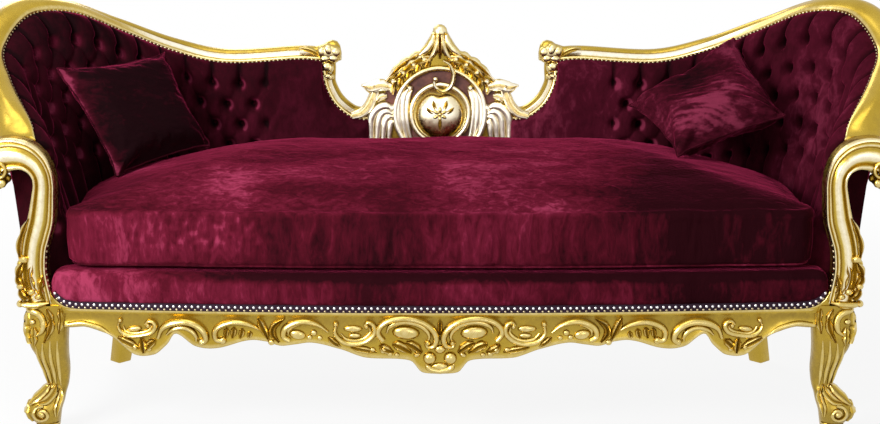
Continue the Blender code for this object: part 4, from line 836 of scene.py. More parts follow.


# arm posts

# the factor of 1.18 lifts the post's crests past 1, painting a near-white highlight over the posts
post = {"deep": 0.068, "sections": 110, "wearAndLight": 1.18, "least": 0.46}
postStations = [  # shift outward, height, half thickness: the S of the post and its outward roll
    (0.019, 0.3183, 0.034), (0.028, 0.368, 0.033), (0.031, 0.406, 0.0315), (0.027, 0.454, 0.031),
    (0.018, 0.490, 0.032), (0.008, 0.526, 0.0315), (0.001, 0.581, 0.0275), (-0.001, 0.609, 0.026),
    (0.003, 0.633, 0.0265), (0.017, 0.657, 0.030), (0.041, 0.674, 0.035), (0.072, 0.679, 0.039),
    (0.101, 0.672, 0.040), (0.123, 0.652, 0.034), (0.128, 0.630, 0.024), (0.117, 0.613, 0.016),
    (0.103, 0.608, 0.012), (0.092, 0.614, 0.010)]
postSection = [  # across, depth with the front at -1, and rub, which the post's factor lifts into painted highlight
    (-1, 0, 0.5), (-1, -0.5, 0.7), (-0.97, -0.76, 0.9), (-0.90, -0.93, 1), (-0.81, -0.95, 0.9),
    (-0.74, -0.86, 0.2), (-0.68, -0.90, 0.7), (-0.60, -0.97, 1), (-0.52, -0.94, 0.7), (-0.44, -0.83, 0.1),
    (-0.34, -0.88, 0.45), (-0.16, -1.01, 0.95), (0.08, -1.08, 1.15), (0.32, -1.03, 0.95),
    (0.50, -0.88, 0.45), (0.58, -0.79, 0.1), (0.67, -0.90, 0.8), (0.77, -0.96, 1), (0.89, -0.88, 0.8),
    (0.97, -0.70, 0.6), (1, -0.42, 0.6), (1, 0, 0.5), (1, 0.55, 0.5), (0.85, 0.93, 0.6), (0.4, 1, 0.6),
    (-0.4, 1, 0.6), (-0.85, 0.93, 0.6), (-1, 0.55, 0.5)]


def postLine(t):
    p = through(postStations, t)
    return Vector((settee["sideHalf"] + p.x, settee["legY"], p.y)), p.z


def postFrame(t):
    end = len(postStations) - 1
    way = (postLine(min(end, t + 0.05))[0] - postLine(max(0, t - 0.05))[0]).normalized()
    centre, half = postLine(t)
    return centre, Vector((way.z, 0, -way.x)), half


def postHost(x, z, lift):  # the front of the post: x goes outward from the leg's middle
    return Vector((settee["sideHalf"] + x, settee["legY"] - post["deep"] / 2 + 0.004 - lift, z))


postStrokes = [  # keys outward and up on the front of the post, width, height, form, ends, lobes
    ([(0.036, 0.528), (0.048, 0.500), (0.058, 0.468), (0.058, 0.440), (0.049, 0.424)],
     0.0190, 0.0120, "leaf", (0.25, 0.6), 3),
    ([(0.052, 0.424), (0.063, 0.402), (0.064, 0.380), (0.052, 0.364)], 0.0220, 0.0150, "leaf", (0.5, 0.5), 2),
    ([(0.030, 0.420), (0.037, 0.392), (0.032, 0.364), (0.020, 0.344)], 0.0210, 0.0120, "leaf", (0.3, 0.4), 3),
    ([(0.006, 0.392), (0.012, 0.368), (0.012, 0.350), (0.006, 0.334)], 0.0180, 0.0105, "leaf", (0.3, 0.4), 2),
    ([(0.062, 0.358), (0.056, 0.344), (0.044, 0.336)], 0.0200, 0.0150, "leaf", (0.6, 0.4), 0),
    ([(0.066, 0.3235), (0.044, 0.3215), (0.018, 0.3220), (-0.006, 0.3260)],
     0.0180, 0.0165, "round", (0.6, 0.4), 0),
]
postBosses = [  # x, height, half length, half width, rise, turn
    (0.0510, 0.430, 0.0120, 0.0105, 0.0150, 0), (0.0600, 0.366, 0.0105, 0.0095, 0.0170, 0),
    (0.0360, 0.352, 0.0115, 0.0100, 0.0150, 0), (0.0200, 0.340, 0.0100, 0.0080, 0.0130, 0),
    (0.0630, 0.3230, 0.0090, 0.0085, 0.0170, 0)]
postEdgeLeaves = [  # height and size of the leaf tips that stand out from the outer edge
    (0.500, 0.009), (0.476, 0.011), (0.448, 0.012), (0.414, 0.012), (0.388, 0.013), (0.358, 0.013),
    (0.326, 0.011)]


def carvePost(label, side):
    shape = newCarving()
    rings, crests = [], []
    for i in range(post["sections"] + 1):
        centre, aside, half = postFrame(i / post["sections"] * (len(postStations) - 1))
        rings.append([centre + aside * (half * a) + backward * (post["deep"] / 2 * d)
                      for a, d, _ in postSection])
        crests.append([wearAndLight * post["wearAndLight"] for _, _, wearAndLight in postSection])
    addRings(shape, rings, crests)
    for row in postStrokes:
        carveStroke(shape, postHost, *row, each=10)
    carveBalls(shape, postHost, postBosses)
    for z, size in postEdgeLeaves:
        t = float(np.interp(z, [row[1] for row in postStations[:9]], range(9)))
        centre, aside, half = postFrame(t)

        def edgeHost(y, h, lift):
            return Vector((centre.x + aside.x * half + lift - 0.003, settee["legY"] + y, h))
        for y in (-0.022, 0.004):
            keys = [(y, z + size), (y + 0.004, z), (y + 0.014, z - size * 1.4)]
            carveStroke(shape, edgeHost, keys, 0.020, size * 0.8, "leaf", (0.4, 0.3))
    eye = postLine(len(postStations) - 1)[0]
    for face in (-1, 1):
        def scrollHost(u, v, lift):
            return Vector((eye.x + u, settee["legY"] + face * (post["deep"] / 2 - 0.004 + lift), eye.z + v))
        carveVolute(shape, scrollHost, 0.010, 0.026, 0.030, 1.3, -60, 0.010, 0.010, 1, 0.0085)
        carveBall(shape, scrollHost, 0.002, -0.002, 0.011, high=0.010)
    carved(f"armPost{label}", shape, [f"arm_post_{label.lower()}"], side, post["least"])


for label, side in sides.items():
    carveLeg(label, side)
    carvePost(label, side)
print("settee: legs and arm posts carved")


# upper rails with their knobs, and the hooked rails of the dips

rails = {"wide": 0.068, "high": 0.031, "armWide": 0.086, "armHigh": 0.044, "dipHigh": 0.027,
         "knobHigh": 0.050, "steps": 260, "dipSteps": 60, "earAt": 5.0, "dipFrom": 0.1863, "dipTop": 0.7935}
railSection = [  # across from the inner edge, up, and rub, where values past 1 paint a near-white highlight in the cove
    (-1.00, 0.02, 0.4), (-1.02, 0.10, 0.9), (-1.01, 0.19, 1.1), (-0.96, 0.25, 0.9), (-0.90, 0.29, 0.8),
    (-0.82, 0.37, 1.3), (-0.68, 0.53, 1.4), (-0.52, 0.645, 1.3), (-0.40, 0.685, 0.8), (-0.345, 0.672, 0.0),
    (-0.30, 0.74, 0.3), (-0.20, 0.89, 0.7), (-0.02, 0.985, 0.6), (0.22, 1.0, 0.6), (0.46, 0.93, 0.6),
    (0.70, 0.77, 0.6), (0.88, 0.54, 0.6), (0.98, 0.28, 0.6), (1.0, 0.06, 0.5), (0.6, 0.0, 0.2), (0, 0.0, 0.2),
    (-0.6, 0.0, 0.2)]

# how high the section rises over the ears
wingRise = [0.02, 0.13, 0.27, 0.38, 0.46, 0.54, 0.67, 0.775, 0.835, 0.86, 0.882, 0.925, 0.985]


def edgeFrame(k, pointAt):
    way = (pointAt(k + 0.02) - pointAt(k - 0.02)).normalized()
    out = outward(k)
    return out, way.cross(out).normalized()


def pastEdge(k):  # the upper edge, carried on past both ends
    if k < 0:
        return upperEdge(0) + across * (k * 0.2)
    if k > roundEnd:
        return upperEdge(roundEnd) * 2 - upperEdge(2 * roundEnd - k)
    return upperEdge(k)


def dipLine(k):
    return upperEdge(max(-0.999, min(-0.001, k)))


def railRing(k, pointAt, wide, high, middle):
    out, away = edgeFrame(k, pointAt)
    base = pointAt(k) + out * middle + away * 0.0006
    plain = smoothStep(3.6, 5.2, k)
    rises = [b for _, b, _ in railSection]
    for i, rise in enumerate(wingRise):
        rises[i] += (rise - rises[i]) * plain
    return [base + out * (a * wide / 2) + away * (b * high) for (a, _, _), b in zip(railSection, rises)]


def railWearAndLight(highlightPaint):  # painted highlight: the cove is painted near-white along the back, and plain gold over the ears
    even = 0.72 - 0.1 * highlightPaint
    wearAndLights = [min(wearAndLight, 1.0) + (wearAndLight - 1.0) * highlightPaint if wearAndLight > 1 else wearAndLight for _, _, wearAndLight in railSection]
    return [wearAndLight + (even - wearAndLight) * max(0.0, 1 - highlightPaint) if 4 < i < 13 else wearAndLight for i, wearAndLight in enumerate(wearAndLights)]


def railSize(k):
    share = max(0.0, (k - rails["earAt"]) / (roundEnd - rails["earAt"]))
    wide = rails["wide"] + (rails["armWide"] - rails["wide"]) * share
    high = rails["high"] + (rails["armHigh"] - rails["high"]) * share
    return wide, high, settee["railMiddle"] + (wide - rails["wide"]) / 2


def knobHost(u, v, lift):  # the front of the knob: x from the middle of the settee, height, and forward
    return Vector((u, leaning(0.80) + settee["railMiddle"] - rails["wide"] / 2 + 0.004 - lift, v))


knobLobes = [  # x, height, half length, half width, rise, turn
    (0.2920, 0.8150, 0.0330, 0.0230, 0.0140, 5), (0.2750, 0.8170, 0.0170, 0.0150, 0.0155, 50),
    (0.2940, 0.8230, 0.0190, 0.0140, 0.0165, 70), (0.3110, 0.8180, 0.0170, 0.0130, 0.0150, 88),
    (0.2820, 0.8010, 0.0170, 0.0130, 0.0160, 12), (0.3030, 0.8000, 0.0165, 0.0120, 0.0155, -10)]
neckLobes = [
    (0.2980, 0.7780, 0.0180, 0.0150, 0.0130, 0), (0.2890, 0.7740, 0.0090, 0.0120, 0.0155, 12),
    (0.2960, 0.7530, 0.0175, 0.0085, 0.0120, 0), (0.2880, 0.7515, 0.0090, 0.0085, 0.0135, 0),
    (0.3050, 0.7480, 0.0095, 0.0085, 0.0120, 0)]
knobLeaf = [(0.372, 0.826), (0.350, 0.824), (0.330, 0.816), (0.316, 0.806)]
knobStations = [(-1.0, 0.42), (-0.93, 0.74), (-0.78, 0.95), (-0.55, 1.02), (-0.3, 0.96), (-0.1, 0.82)]


def carveLobes(rail, lobes):  # rubbed a little paler than the rail, which lifts the lobes' tops into painted highlight
    plainCount = len(rail["crest"])
    carveBalls(rail, knobHost, lobes)
    rail["crest"][plainCount:] = [c * 1.08 for c in rail["crest"][plainCount:]]


def carveUpperRail(label, side):
    rail = newCarving()
    rings, crests = [], []
    for share, fat in knobStations:
        wide = rails["wide"] * min(1, fat + 0.1)
        rings.append(railRing(share * 0.25, pastEdge, wide, rails["knobHigh"] * fat, settee["railMiddle"]))
        crests.append(railWearAndLight(0.4))
    ks = evenStations(0.0, roundEnd, rails["steps"], upperEdge)[0]
    for k in ks[4:]:
        wide, high, middle = railSize(k)
        rise = 1 + 0.35 * smoothStep(0.55, 0.05, k)
        rise *= 1 - 0.72 * smoothStep(8.6, 9.9, k)
        rings.append(railRing(k, pastEdge, wide, high * rise, middle))
        # painted highlight along the back, fading out before the ears
        crests.append(railWearAndLight(1.25 - 1.25 * smoothStep(3.0, 4.6, k)))
    rings[-1] = [Vector((p.x, max(p.y, settee["wingFrontY"]), p.z)) for p in rings[-1]]
    addRings(rail, rings, crests)
    carveLobes(rail, knobLobes)
    carveStroke(rail, knobHost, knobLeaf, 0.014, 0.006, "leaf", (0.2, 0.5))
    carved(f"upperRail{label}", rail, [f"top_rail_{label.lower()}", f"wing_rail_{label.lower()}"], side)


def carveDipRail(label, side):
    rail = newCarving()
    ks = evenStations(-1.0, -0.002, rails["dipSteps"], dipLine)[0]
    rings, crests = [], []
    for k in ks:
        high = rails["dipHigh"] * (1 + 0.25 * smoothStep(-0.35, -0.1, k))
        ring = railRing(k, dipLine, rails["wide"], high, settee["railMiddle"])
        rings.append([Vector((max(p.x, rails["dipFrom"]), p.y, min(p.z, rails["dipTop"]))) for p in ring])
        crests.append(railWearAndLight(1.1))
    addRings(rail, rings, crests)
    carveLobes(rail, neckLobes)
    carved(f"dipRail{label}", rail, [f"dip_rail_{label.lower()}"], side)


for label, side in sides.items():
    carveUpperRail(label, side)
    carveDipRail(label, side)
print("settee: upper rails carved")


# carved centre panel

panel = {"front": -0.016, "back": 0.026, "middle": 0.657, "arch": 0.1185, "ring": 0.0760, "heart": 0.0625,
         "ground": 0.114, "highlightBelow": 0.700, "hoodFrom": 0.738, "hoodHalf": 0.15, "flower": 0.658,
         "petal": 0.0115, "least": 0.42, "hoopSteps": 72}
panelOutline = [(0.186, 0.3216), (0.186, 0.668), (0.168, 0.690), (0.174, 0.708), (0.204, 0.728),
                (0.140, 0.742), (0.130, 0.756), (0.104, 0.778), (0.060, 0.806), (0.042, 0.830),
                (0.028, 0.852), (0.020, 0.866), (0.008, 0.870)]


def panelHost(x, z, lift):
    return Vector((x, leaning(z) + panel["front"] + 0.004 - lift, z))


panelStrokes = [  # keys as x and height on the right half, then width, height, form, ends, lobes, curl
    ([(0.232, 0.650), (0.206, 0.658), (0.187, 0.678), (0.176, 0.702), (0.166, 0.724)],
     0.026, 0.016, "fluted", (0.8, 0.8), 0, 0),
    ([(0.128, 0.724), (0.156, 0.730), (0.182, 0.724), (0.208, 0.730)],
     0.032, 0.015, "leaf", (0.7, 0.12), 0, 0.004),
    ([(0.020, 0.802), (0.052, 0.797), (0.086, 0.776), (0.124, 0.740)],
     0.034, 0.016, "leaf", (0.6, 0.4), 5, 0.004),
    ([(0.030, 0.822), (0.066, 0.804), (0.104, 0.780), (0.142, 0.744)],
     0.026, 0.014, "leaf", (0.5, 0.3), 5, 0.003),
    ([(0.026, 0.798), (0.034, 0.784), (0.036, 0.768)], 0.019, 0.013, "leaf", (0.6, 0.3), 0, 0.003),
    ([(0.050, 0.790), (0.059, 0.774), (0.060, 0.758)], 0.021, 0.013, "leaf", (0.6, 0.3), 0, 0.003),
    ([(0.076, 0.774), (0.084, 0.758), (0.083, 0.743)], 0.021, 0.013, "leaf", (0.6, 0.3), 0, 0.003),
    ([(0.100, 0.754), (0.106, 0.739), (0.103, 0.724)], 0.020, 0.013, "leaf", (0.6, 0.3), 0, 0.003),
    ([(0.120, 0.736), (0.126, 0.722), (0.124, 0.706)], 0.019, 0.012, "leaf", (0.6, 0.3), 0, 0.003),
    ([(0.016, 0.862), (0.022, 0.842), (0.037, 0.822), (0.064, 0.804)],
     0.022, 0.014, "round", (0.6, 0.4), 0, 0),
    ([(0.006, 0.862), (0.009, 0.836), (0.018, 0.812), (0.034, 0.796)],
     0.018, 0.017, "round", (0.6, 0.5), 0, 0),
    ([(0.094, 0.716), (0.106, 0.698), (0.111, 0.668), (0.109, 0.630), (0.101, 0.590)],
     0.0195, 0.012, "round", (0.6, 0.6), 0, 0),
    ([(0.082, 0.722), (0.094, 0.704), (0.0985, 0.670), (0.0965, 0.630), (0.088, 0.590)],
     0.0195, 0.0130, "round", (0.6, 0.6), 0, 0),
    ([(0.074, 0.718), (0.083, 0.702), (0.0875, 0.672), (0.0855, 0.632), (0.077, 0.590)],
     0.0175, 0.0115, "round", (0.5, 0.6), 0, 0),
    ([(0.122, 0.664), (0.142, 0.676), (0.166, 0.668), (0.182, 0.642), (0.183, 0.588)],
     0.0250, 0.0150, "round", (0.5, 0.7), 0, 0),
    ([(0.126, 0.656), (0.146, 0.661), (0.161, 0.642), (0.167, 0.588)],
     0.0235, 0.0135, "round", (0.5, 0.7), 0, 0),
    ([(0.124, 0.648), (0.138, 0.646), (0.147, 0.628), (0.151, 0.588)],
     0.0215, 0.0120, "round", (0.5, 0.7), 0, 0),
    ([(0.122, 0.638), (0.131, 0.628), (0.135, 0.588)], 0.0190, 0.0105, "round", (0.5, 0.7), 0, 0),
    ([(0.140, 0.702), (0.156, 0.700), (0.166, 0.688)], 0.0220, 0.010, "leaf", (0.6, 0.5), 0, 0),
]
panelBackBead = [(0.000, 0.352), (0.090, 0.352), (0.150, 0.353), (0.159, 0.362), (0.160, 0.420),
                 (0.160, 0.540), (0.158, 0.660), (0.142, 0.696), (0.120, 0.718), (0.096, 0.742),
                 (0.062, 0.768), (0.034, 0.792), (0.014, 0.822), (0.000, 0.842)]
panelBosses = [  # x, height, half length, half width, rise, turn
    (0.080, 0.724, 0.0100, 0.0085, 0.014, 0), (0.126, 0.672, 0.0110, 0.0095, 0.016, 0),
    (0.042, 0.800, 0.0105, 0.0085, 0.017, 0), (0.070, 0.786, 0.0095, 0.0080, 0.016, 0),
    (0.098, 0.765, 0.0095, 0.0080, 0.016, 0), (0.122, 0.742, 0.0090, 0.0075, 0.015, 0)]
panelBoard = [  # depth, inset of the outline, rub
    (panel["back"], 0.004, 0.5), (panel["back"] - 0.004, 0.0, 0.6), (panel["front"] + 0.012, 0.0, 0.6),
    (panel["front"] + 0.005, 0.003, 0.5), (panel["front"] + 0.006, 0.009, 0.3)]
panelHoops = [  # radius, thickness, lift, and how far the ends run on below the middle
    (panel["arch"], 0.0072, 0.007, 0.65), (panel["ring"], 0.0070, 0.010, 1.1)]
heartRise = [(1.0, -0.004), (1.0, 0.008), (0.97, 0.014), (0.9, 0.020), (0.78, 0.0255), (0.6, 0.0295),
             (0.4, 0.0320), (0.2, 0.0332), (0.05, 0.0336)]
heartDish = [(0.0745, 0.0), (0.0735, 0.0075), (0.0660, 0.0045), (0.0200, 0.0045)]  # radius, lift
heartLeaves = [[(0.009, 0.668), (0.015, 0.680), (0.018, 0.694)],
               [(0.013, 0.660), (0.026, 0.666), (0.037, 0.676)]]
heartStem = [(0, 0.650), (0, 0.634), (0, 0.616)]
hoodCurl = [(-0.015, 0.750), (-0.013, 0.728), (0.008, 0.716), (0.028, 0.728), (0.036, 0.756), (0.026, 0.784),
            (0.008, 0.796)]
hoodRib = [(0, 0.866), (0, 0.836), (0, 0.800)]


def panelRing(x, z, halfX, halfZ, lift, count):  # an oval on the panel's face
    return [panelHost(x + math.cos(a) * halfX, z + math.sin(a) * halfZ, lift) for a in roundTurn(count)]


def carveBoard(shape):
    outline = panelOutline + [(-x, z) for x, z in reversed(panelOutline)]
    rings, crests = [], []
    for depth, inset, wearAndLight in panelBoard:
        shrink = 1 - inset / 0.19
        rings.append([Vector((x * shrink, leaning(z) + depth, z - inset * (z > 0.7))) for x, z in outline])
        crests.append([wearAndLight] * len(outline))
    addRings(shape, rings, crests)


def carveHoops(shape):
    for radius, wire, lift, past in panelHoops:
        rings = []
        for i in range(panel["hoopSteps"] + 1):
            angle = -past + (math.pi + past + past) * i / panel["hoopSteps"]
            ring = []
            for turn in roundTurn(12):
                reach = radius + math.cos(turn) * wire
                ring.append(panelHost(math.cos(angle) * reach, panel["middle"] + math.sin(angle) * reach,
                                      lift + math.sin(turn) * wire))
            rings.append(ring)
        wearAndLights = [0.15 + 0.85 * max(0, math.sin(turn)) for turn in roundTurn(12)]
        addRings(shape, rings, [wearAndLights] * len(rings))


def carveHeart(shape):
    rings, crests = [], []
    for share, rise in heartRise:
        ring, crest = [], []
        for angle in roundTurn(48):
            notch = 1 - 0.19 * bell(angle, math.pi / 2, 0.30) * share
            point = 1 + 0.12 * bell(angle, 1.5 * math.pi, 0.34)
            reach = panel["heart"] * share * notch * point
            z = panel["middle"] - 0.004 + math.sin(angle) * reach
            ring.append(panelHost(math.cos(angle) * reach, z, rise))
            # painted highlight: the heart is painted near-white, less so towards its lower rim
            golden = 0.60 * share * min(0, math.sin(angle))  # towards its lower rim
            crest.append(0.2 if rise < 0.01 else 1.45 - 0.40 * share ** 3 + golden)
        rings.append(ring)
        crests.append(crest)
    addRings(shape, rings, crests)
    rings = [panelRing(0, panel["middle"], radius, radius, lift, 48) for radius, lift in heartDish]
    addRings(shape, rings, [[0.9] * 48] * len(rings))


def carvePanelSide(shape, side):
    def host(x, z, lift):
        return panelHost(side * x, z, lift)

    def heartHost(x, z, lift):
        return host(x, z, lift + 0.0285)

    def backHost(x, z, lift):
        return Vector((side * x, leaning(z) + panel["back"] - 0.001 + lift, z))

    for row in panelStrokes:
        carveStroke(shape, host, *row)
    carveBalls(shape, host, panelBosses)
    carveStroke(shape, backHost, panelBackBead, 0.011, 0.0055, "round", (1, 1))
    for keys in heartLeaves:
        carveStroke(shape, heartHost, keys, 0.011, 0.006, "leaf", (0.3, 0.2))


def carveFlower(shape):  # on the heart
    def host(x, z, lift):
        return panelHost(x, z, lift + 0.032)

    middle, petal = panel["flower"], panel["petal"]
    for n in range(6):
        angle = math.pi * n / 3 + 0.5
        x, z = math.cos(angle) * petal, middle + math.sin(angle) * petal
        carveBall(shape, host, x, z, 0.0082, 0.0048, 0.0042, turn=math.degrees(angle))
    carveBall(shape, host, 0, middle, 0.0055, high=0.0066)
    carveStroke(shape, host, heartStem, 0.010, 0.004, "leaf", (0.4, 0.3))


def carveHood(shape):  # with its curl, rib and finial
    def curlHost(x, z, lift):
        return panelHost(x, z, lift + 0.012)

    def finialHost(x, z, lift):
        return Vector((x, leaning(z) + 0.005 - lift, z))

    carveStroke(shape, curlHost, hoodCurl, 0.0135, 0.0110, "round", (0.6, 0.5))
    carveBall(shape, panelHost, -0.012, 0.748, 0.0070, high=0.0070, lift=0.016)
    carveStroke(shape, panelHost, hoodRib, 0.016, 0.020, "leaf", (0.6, 0.5))
    carveBall(shape, finialHost, 0, 0.868, 0.0195, high=0.0195)
    carveBall(shape, finialHost, 0, 0.849, 0.0230, 0.0065, 0.0210)


def paintPanelHighlights(shape):  # painted highlight: the lower carving is painted almost white, the ring and the hood less so
    crests = shape["crest"]
    for i, p in enumerate(shape["points"]):
        face = leaning(p.z) + panel["front"]
        reach = math.hypot(p.x, p.z - panel["middle"])
        if p.y < face + 0.002 and reach > panel["ring"] + 0.008:
            low = panel["highlightBelow"] + (0.04 if abs(p.x) > 0.125 else 0.0)
            highlightPaint = smoothStep(low + 0.05, low, p.z)
            crests[i] = max(crests[i], 0.68 * highlightPaint) * (1 + 0.75 * highlightPaint)
        elif p.y < face and reach > panel["ring"] - 0.009:
            crests[i] = max(crests[i], 0.50) * 1.40
        if p.z > panel["hoodFrom"] and abs(p.x) < panel["hoodHalf"]:
            crests[i] = max(crests[i], 0.66) * 1.18


def carvePanel():
    shape = newCarving()
    carveBoard(shape)
    carveHoops(shape)
    carveHeart(shape)
    for side in (-1, 1):
        carvePanelSide(shape, side)
    carveFlower(shape)
    carveHood(shape)
    paintPanelHighlights(shape)
    carved("centrePanel", shape, ["centre_panel"], least=panel["least"])


def layGround():  # painted shadow: a dark ground inside the arch, and two dark ovals between the arch and the shoulders, where the openings lie in shade
    parts = [[panelRing(0, panel["middle"], panel["ground"], panel["ground"], 0.0014 - depth, 64)
              for depth in (0.0030, 0.0006)]]
    for side in (-1, 1):
        parts.append([panelRing(side * 0.128, 0.701, side * 0.018, side * 0.025, lift, 24)
                      for lift in (-0.0030, 0.0004)])
    ringPiece("panelGround", parts, boleAndShadowGround)


carvePanel()
layGround()
print("settee: centre panel carved")


# buttoned padding of the back and the wings

padding = {"edge": 0.016, "plain": 0.048, "hill": 0.060, "fold": 0.009, "pit": 0.036, "pitWide": 0.0135,
           "pleat": 0.016, "pleatWide": 0.0060, "perHalf": 11, "rowsPer": 14, "lift": 0.014,
           "tuftFrom": 0.45, "lowRow": 4, "topRow": 8, "button": 0.0080, "highlightAt": 0.0125,
           "highlightWide": 0.0060, "shadeWide": 0.0100, "rim": 0.05}


def tuftRelief(a, b):  # height of the stuffing between the folds, 0 to 1
    p, q = (a + b) / 2, (a - b) / 2
    return (abs(math.sin(math.pi * p)) * abs(math.sin(math.pi * q))) ** 0.45


def nearestButton(a, b, tall):  # distance, and how far it lies along the back
    half, step = settee["tuftPitch"] / 2, tall / settee["tuftRows"]
    near, along = 9.0, 0.0
    for line in range(padding["lowRow"], padding["topRow"] + 1):
        column = round((a - line) / 2) * 2 + line
        far = math.hypot((a - column) * half, (b - line) * step)
        if far < near:
            near, along = far, (a - column) * half
    return near, along


def tuftDepth(a, b, tall):
    half = settee["tuftPitch"] / 2
    low, top = padding["lowRow"], padding["topRow"]
    deep = padding["hill"] - padding["fold"] * (1 - tuftRelief(a, max(low, min(top, b))))
    for edge, past in ((top, b - top), (low, low - b)):
        if past > 0:  # pleats that run on from the outer buttons
            column = round((a - edge) / 2) * 2 + edge
            pleat = bell((a - column) * half, 0, padding["pleatWide"])
            deep -= padding["pleat"] * pleat * smoothStep(0, 0.4, past)
    return deep - padding["pit"] * bell(nearestButton(a, b, tall)[0], 0, padding["pitWide"])


def padPaintedLight(a, v, k, side):  # painted light: the right wing lighter and the left darker, a painted highlight on one side of each button, painted shade along the pleats and in the pits
    tall = upperEdge(k).z - settee["shellBase"]
    x = footLine(k).lerp(upperEdge(k), v).x
    # painted light: the right wing lighter, the left wing darker
    wing, middle = (0.17, 0.27) if side > 0 else (-0.20, 0.0)
    layAndLight = smoothStep(0.55, 0.85, x) * wing + middle * smoothStep(0.6, 0.4, x)
    if a is None or x < padding["tuftFrom"]:
        return layAndLight
    near, along = nearestButton(a, v * settee["tuftRows"], tall)
    # painted highlight on the lit side of each button
    openHighlight = bell(near, padding["highlightAt"], padding["highlightWide"])
    openHighlight *= smoothStep(0.0, 0.6, along * side / max(near, 1e-6))
    layAndLight += 0.85 * openHighlight if side < 0 or x < 0.7 else 0.30 * openHighlight
    # painted shade along the pleats above the top buttons
    past = v * settee["tuftRows"] - padding["topRow"]
    if past > 0:
        column = round((a - padding["topRow"]) / 2) * 2 + padding["topRow"]
        layAndLight -= 0.45 * bell((a - column) * settee["tuftPitch"] / 2, 0, padding["pleatWide"])
    # painted shade in the button pits
    return layAndLight - 0.8 * bell(near, 0, padding["shadeWide"])


def padDepth(a, v, k):
    spot = upperEdge(k)
    tall = spot.z - settee["shellBase"]
    depth = padding["plain"]
    here = footLine(k).lerp(spot, v)
    if k > 0:
        tufted = smoothStep(padding["tuftFrom"] - 0.03, padding["tuftFrom"] + 0.05, here.x)
        depth += (tuftDepth(a, v * settee["tuftRows"], tall) - depth) * tufted
    depth += waver(here.x * 9, here.y * 9, here.z * 5) * 0.0026
    rim = min(1.0, (1 - v) * tall / padding["rim"])
    rim = min(rim, (roundEnd - k) / 0.45 if k > 9 else 1.0, (k + 1) / 0.35 if k < -0.6 else 1.0)
    rim = max(0.0, min(1.0, rim))
    return padding["edge"] + (depth - padding["edge"]) * math.sqrt(max(0.0, 1 - (1 - rim) ** 2))


def closedPad(front, back, columns, rows):  # front grid of points, and two back rows for its foot and its top
    points = [p for line in front for p in line] + back[0] + back[1]
    low, high = columns * rows, columns * rows + columns
    faces = []
    for r in range(rows - 1):
        for c in range(columns - 1):
            a = r * columns + c
            faces.append((a, a + 1, a + columns + 1, a + columns))
    top = (rows - 1) * columns
    for c in range(columns - 1):
        faces.append((low + c + 1, low + c, high + c, high + c + 1))
        faces.append((c + 1, c, low + c, low + c + 1))
        faces.append((top + c, top + c + 1, high + c + 1, high + c))
    for c, flip in ((0, False), (columns - 1, True)):
        edge = [r * columns + c for r in range(rows)] + [high + c, low + c]
        faces.append(tuple(reversed(edge)) if flip else tuple(edge))
    return points, faces


def padColumns():
    def middleLine(k):
        return shell(k, 0.6, 0)

    length = evenStations(0.0, roundEnd, 1, middleLine)[1]
    halves = round(length / (settee["tuftPitch"] / 2))
    fine = evenStations(0.0, roundEnd, halves * padding["perHalf"], middleLine)[0]
    dip = evenStations(-1.0, -0.001, 40, upperEdge)[0][:-1]
    dip[0] += 0.002
    columns = [(k, None) for k in dip]
    columns += [(k, i / padding["perHalf"]) for i, k in enumerate(fine[:-1])]
    return columns + [(roundEnd - 0.004, halves)], halves


def stuffPadding(label, side):
    columns, halves = padColumns()
    rowCount = settee["tuftRows"] * padding["rowsPer"] + 1
    front, buttons, layAndLightValues = [], [], []
    for r in range(rowCount):
        line = []
        for k, a in columns:
            low = padding["lift"] / (upperEdge(k).z - settee["shellBase"])
            v = low + (1 - low) * r / (rowCount - 1)
            line.append(flipped(shell(k, v, -padDepth(a or 0.0, v, k)), side))
            layAndLightValues.append(padPaintedLight(a, v, k, side))
        front.append(line)
    back = []
    for v in (0, 1):
        line = []
        for k, _ in columns:
            low = padding["lift"] / (upperEdge(k).z - settee["shellBase"])
            line.append(flipped(shell(k, max(v, low), -0.0004), side))
        back.append(line)
    points, faces = closedPad(front, back, len(columns), rowCount)
    piece = makePiece(f"tuftedBack{label}", points, faces, backVelvet, angle=70)
    layAndLightValues += [0.0] * (len(points) - len(layAndLightValues))
    # painted light and shade of the padding, per point
    putValues(piece, "layAndLight", layAndLightValues)
    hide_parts(f"back_pad_{label.lower()}", f"wing_pad_{label.lower()}")
    lookup = [(a, k) for k, a in columns if a is not None]
    for row in range(padding["lowRow"], padding["topRow"] + 1):
        for column in range(row % 2, halves - 1, 2):
            k = float(np.interp(column, [a for a, _ in lookup], [k for _, k in lookup]))
            v = row / settee["tuftRows"]
            p = shell(k, v, -padDepth(column, v, k) - 0.0010)
            if p.x > padding["tuftFrom"] + 0.01 and k < roundEnd - 0.5:
                buttons.append((flipped(p, side), flipped(-outward(k) + up * 0.12, side)))
    return buttons


# small things that repeat: one is modelled, then copied to every place

def domeTemplate(radius, flat, segments, rings, pinch=0.0):
    bpy.ops.object.select_all(action="DESELECT")
    bpy.ops.mesh.primitive_uv_sphere_add(segments=segments, ring_count=rings, radius=radius)
    dome = bpy.context.active_object
    editAll(dome)
    bpy.ops.transform.resize(value=(1, 1, flat))
    bpy.ops.mesh.bisect(plane_co=(0, 0, -radius * flat * 0.35), plane_no=(0, 0, 1), clear_inner=True,
                        use_fill=True)
    bpy.ops.object.mode_set(mode="OBJECT")
    points = [v.co.copy() for v in dome.data.vertices]
    faces = [tuple(p.vertices) for p in dome.data.polygons]
    bpy.data.objects.remove(dome)
    for p in points:
        p.z -= pinch * bell(p.xy.length, 0, radius * 0.4)
    return points, faces


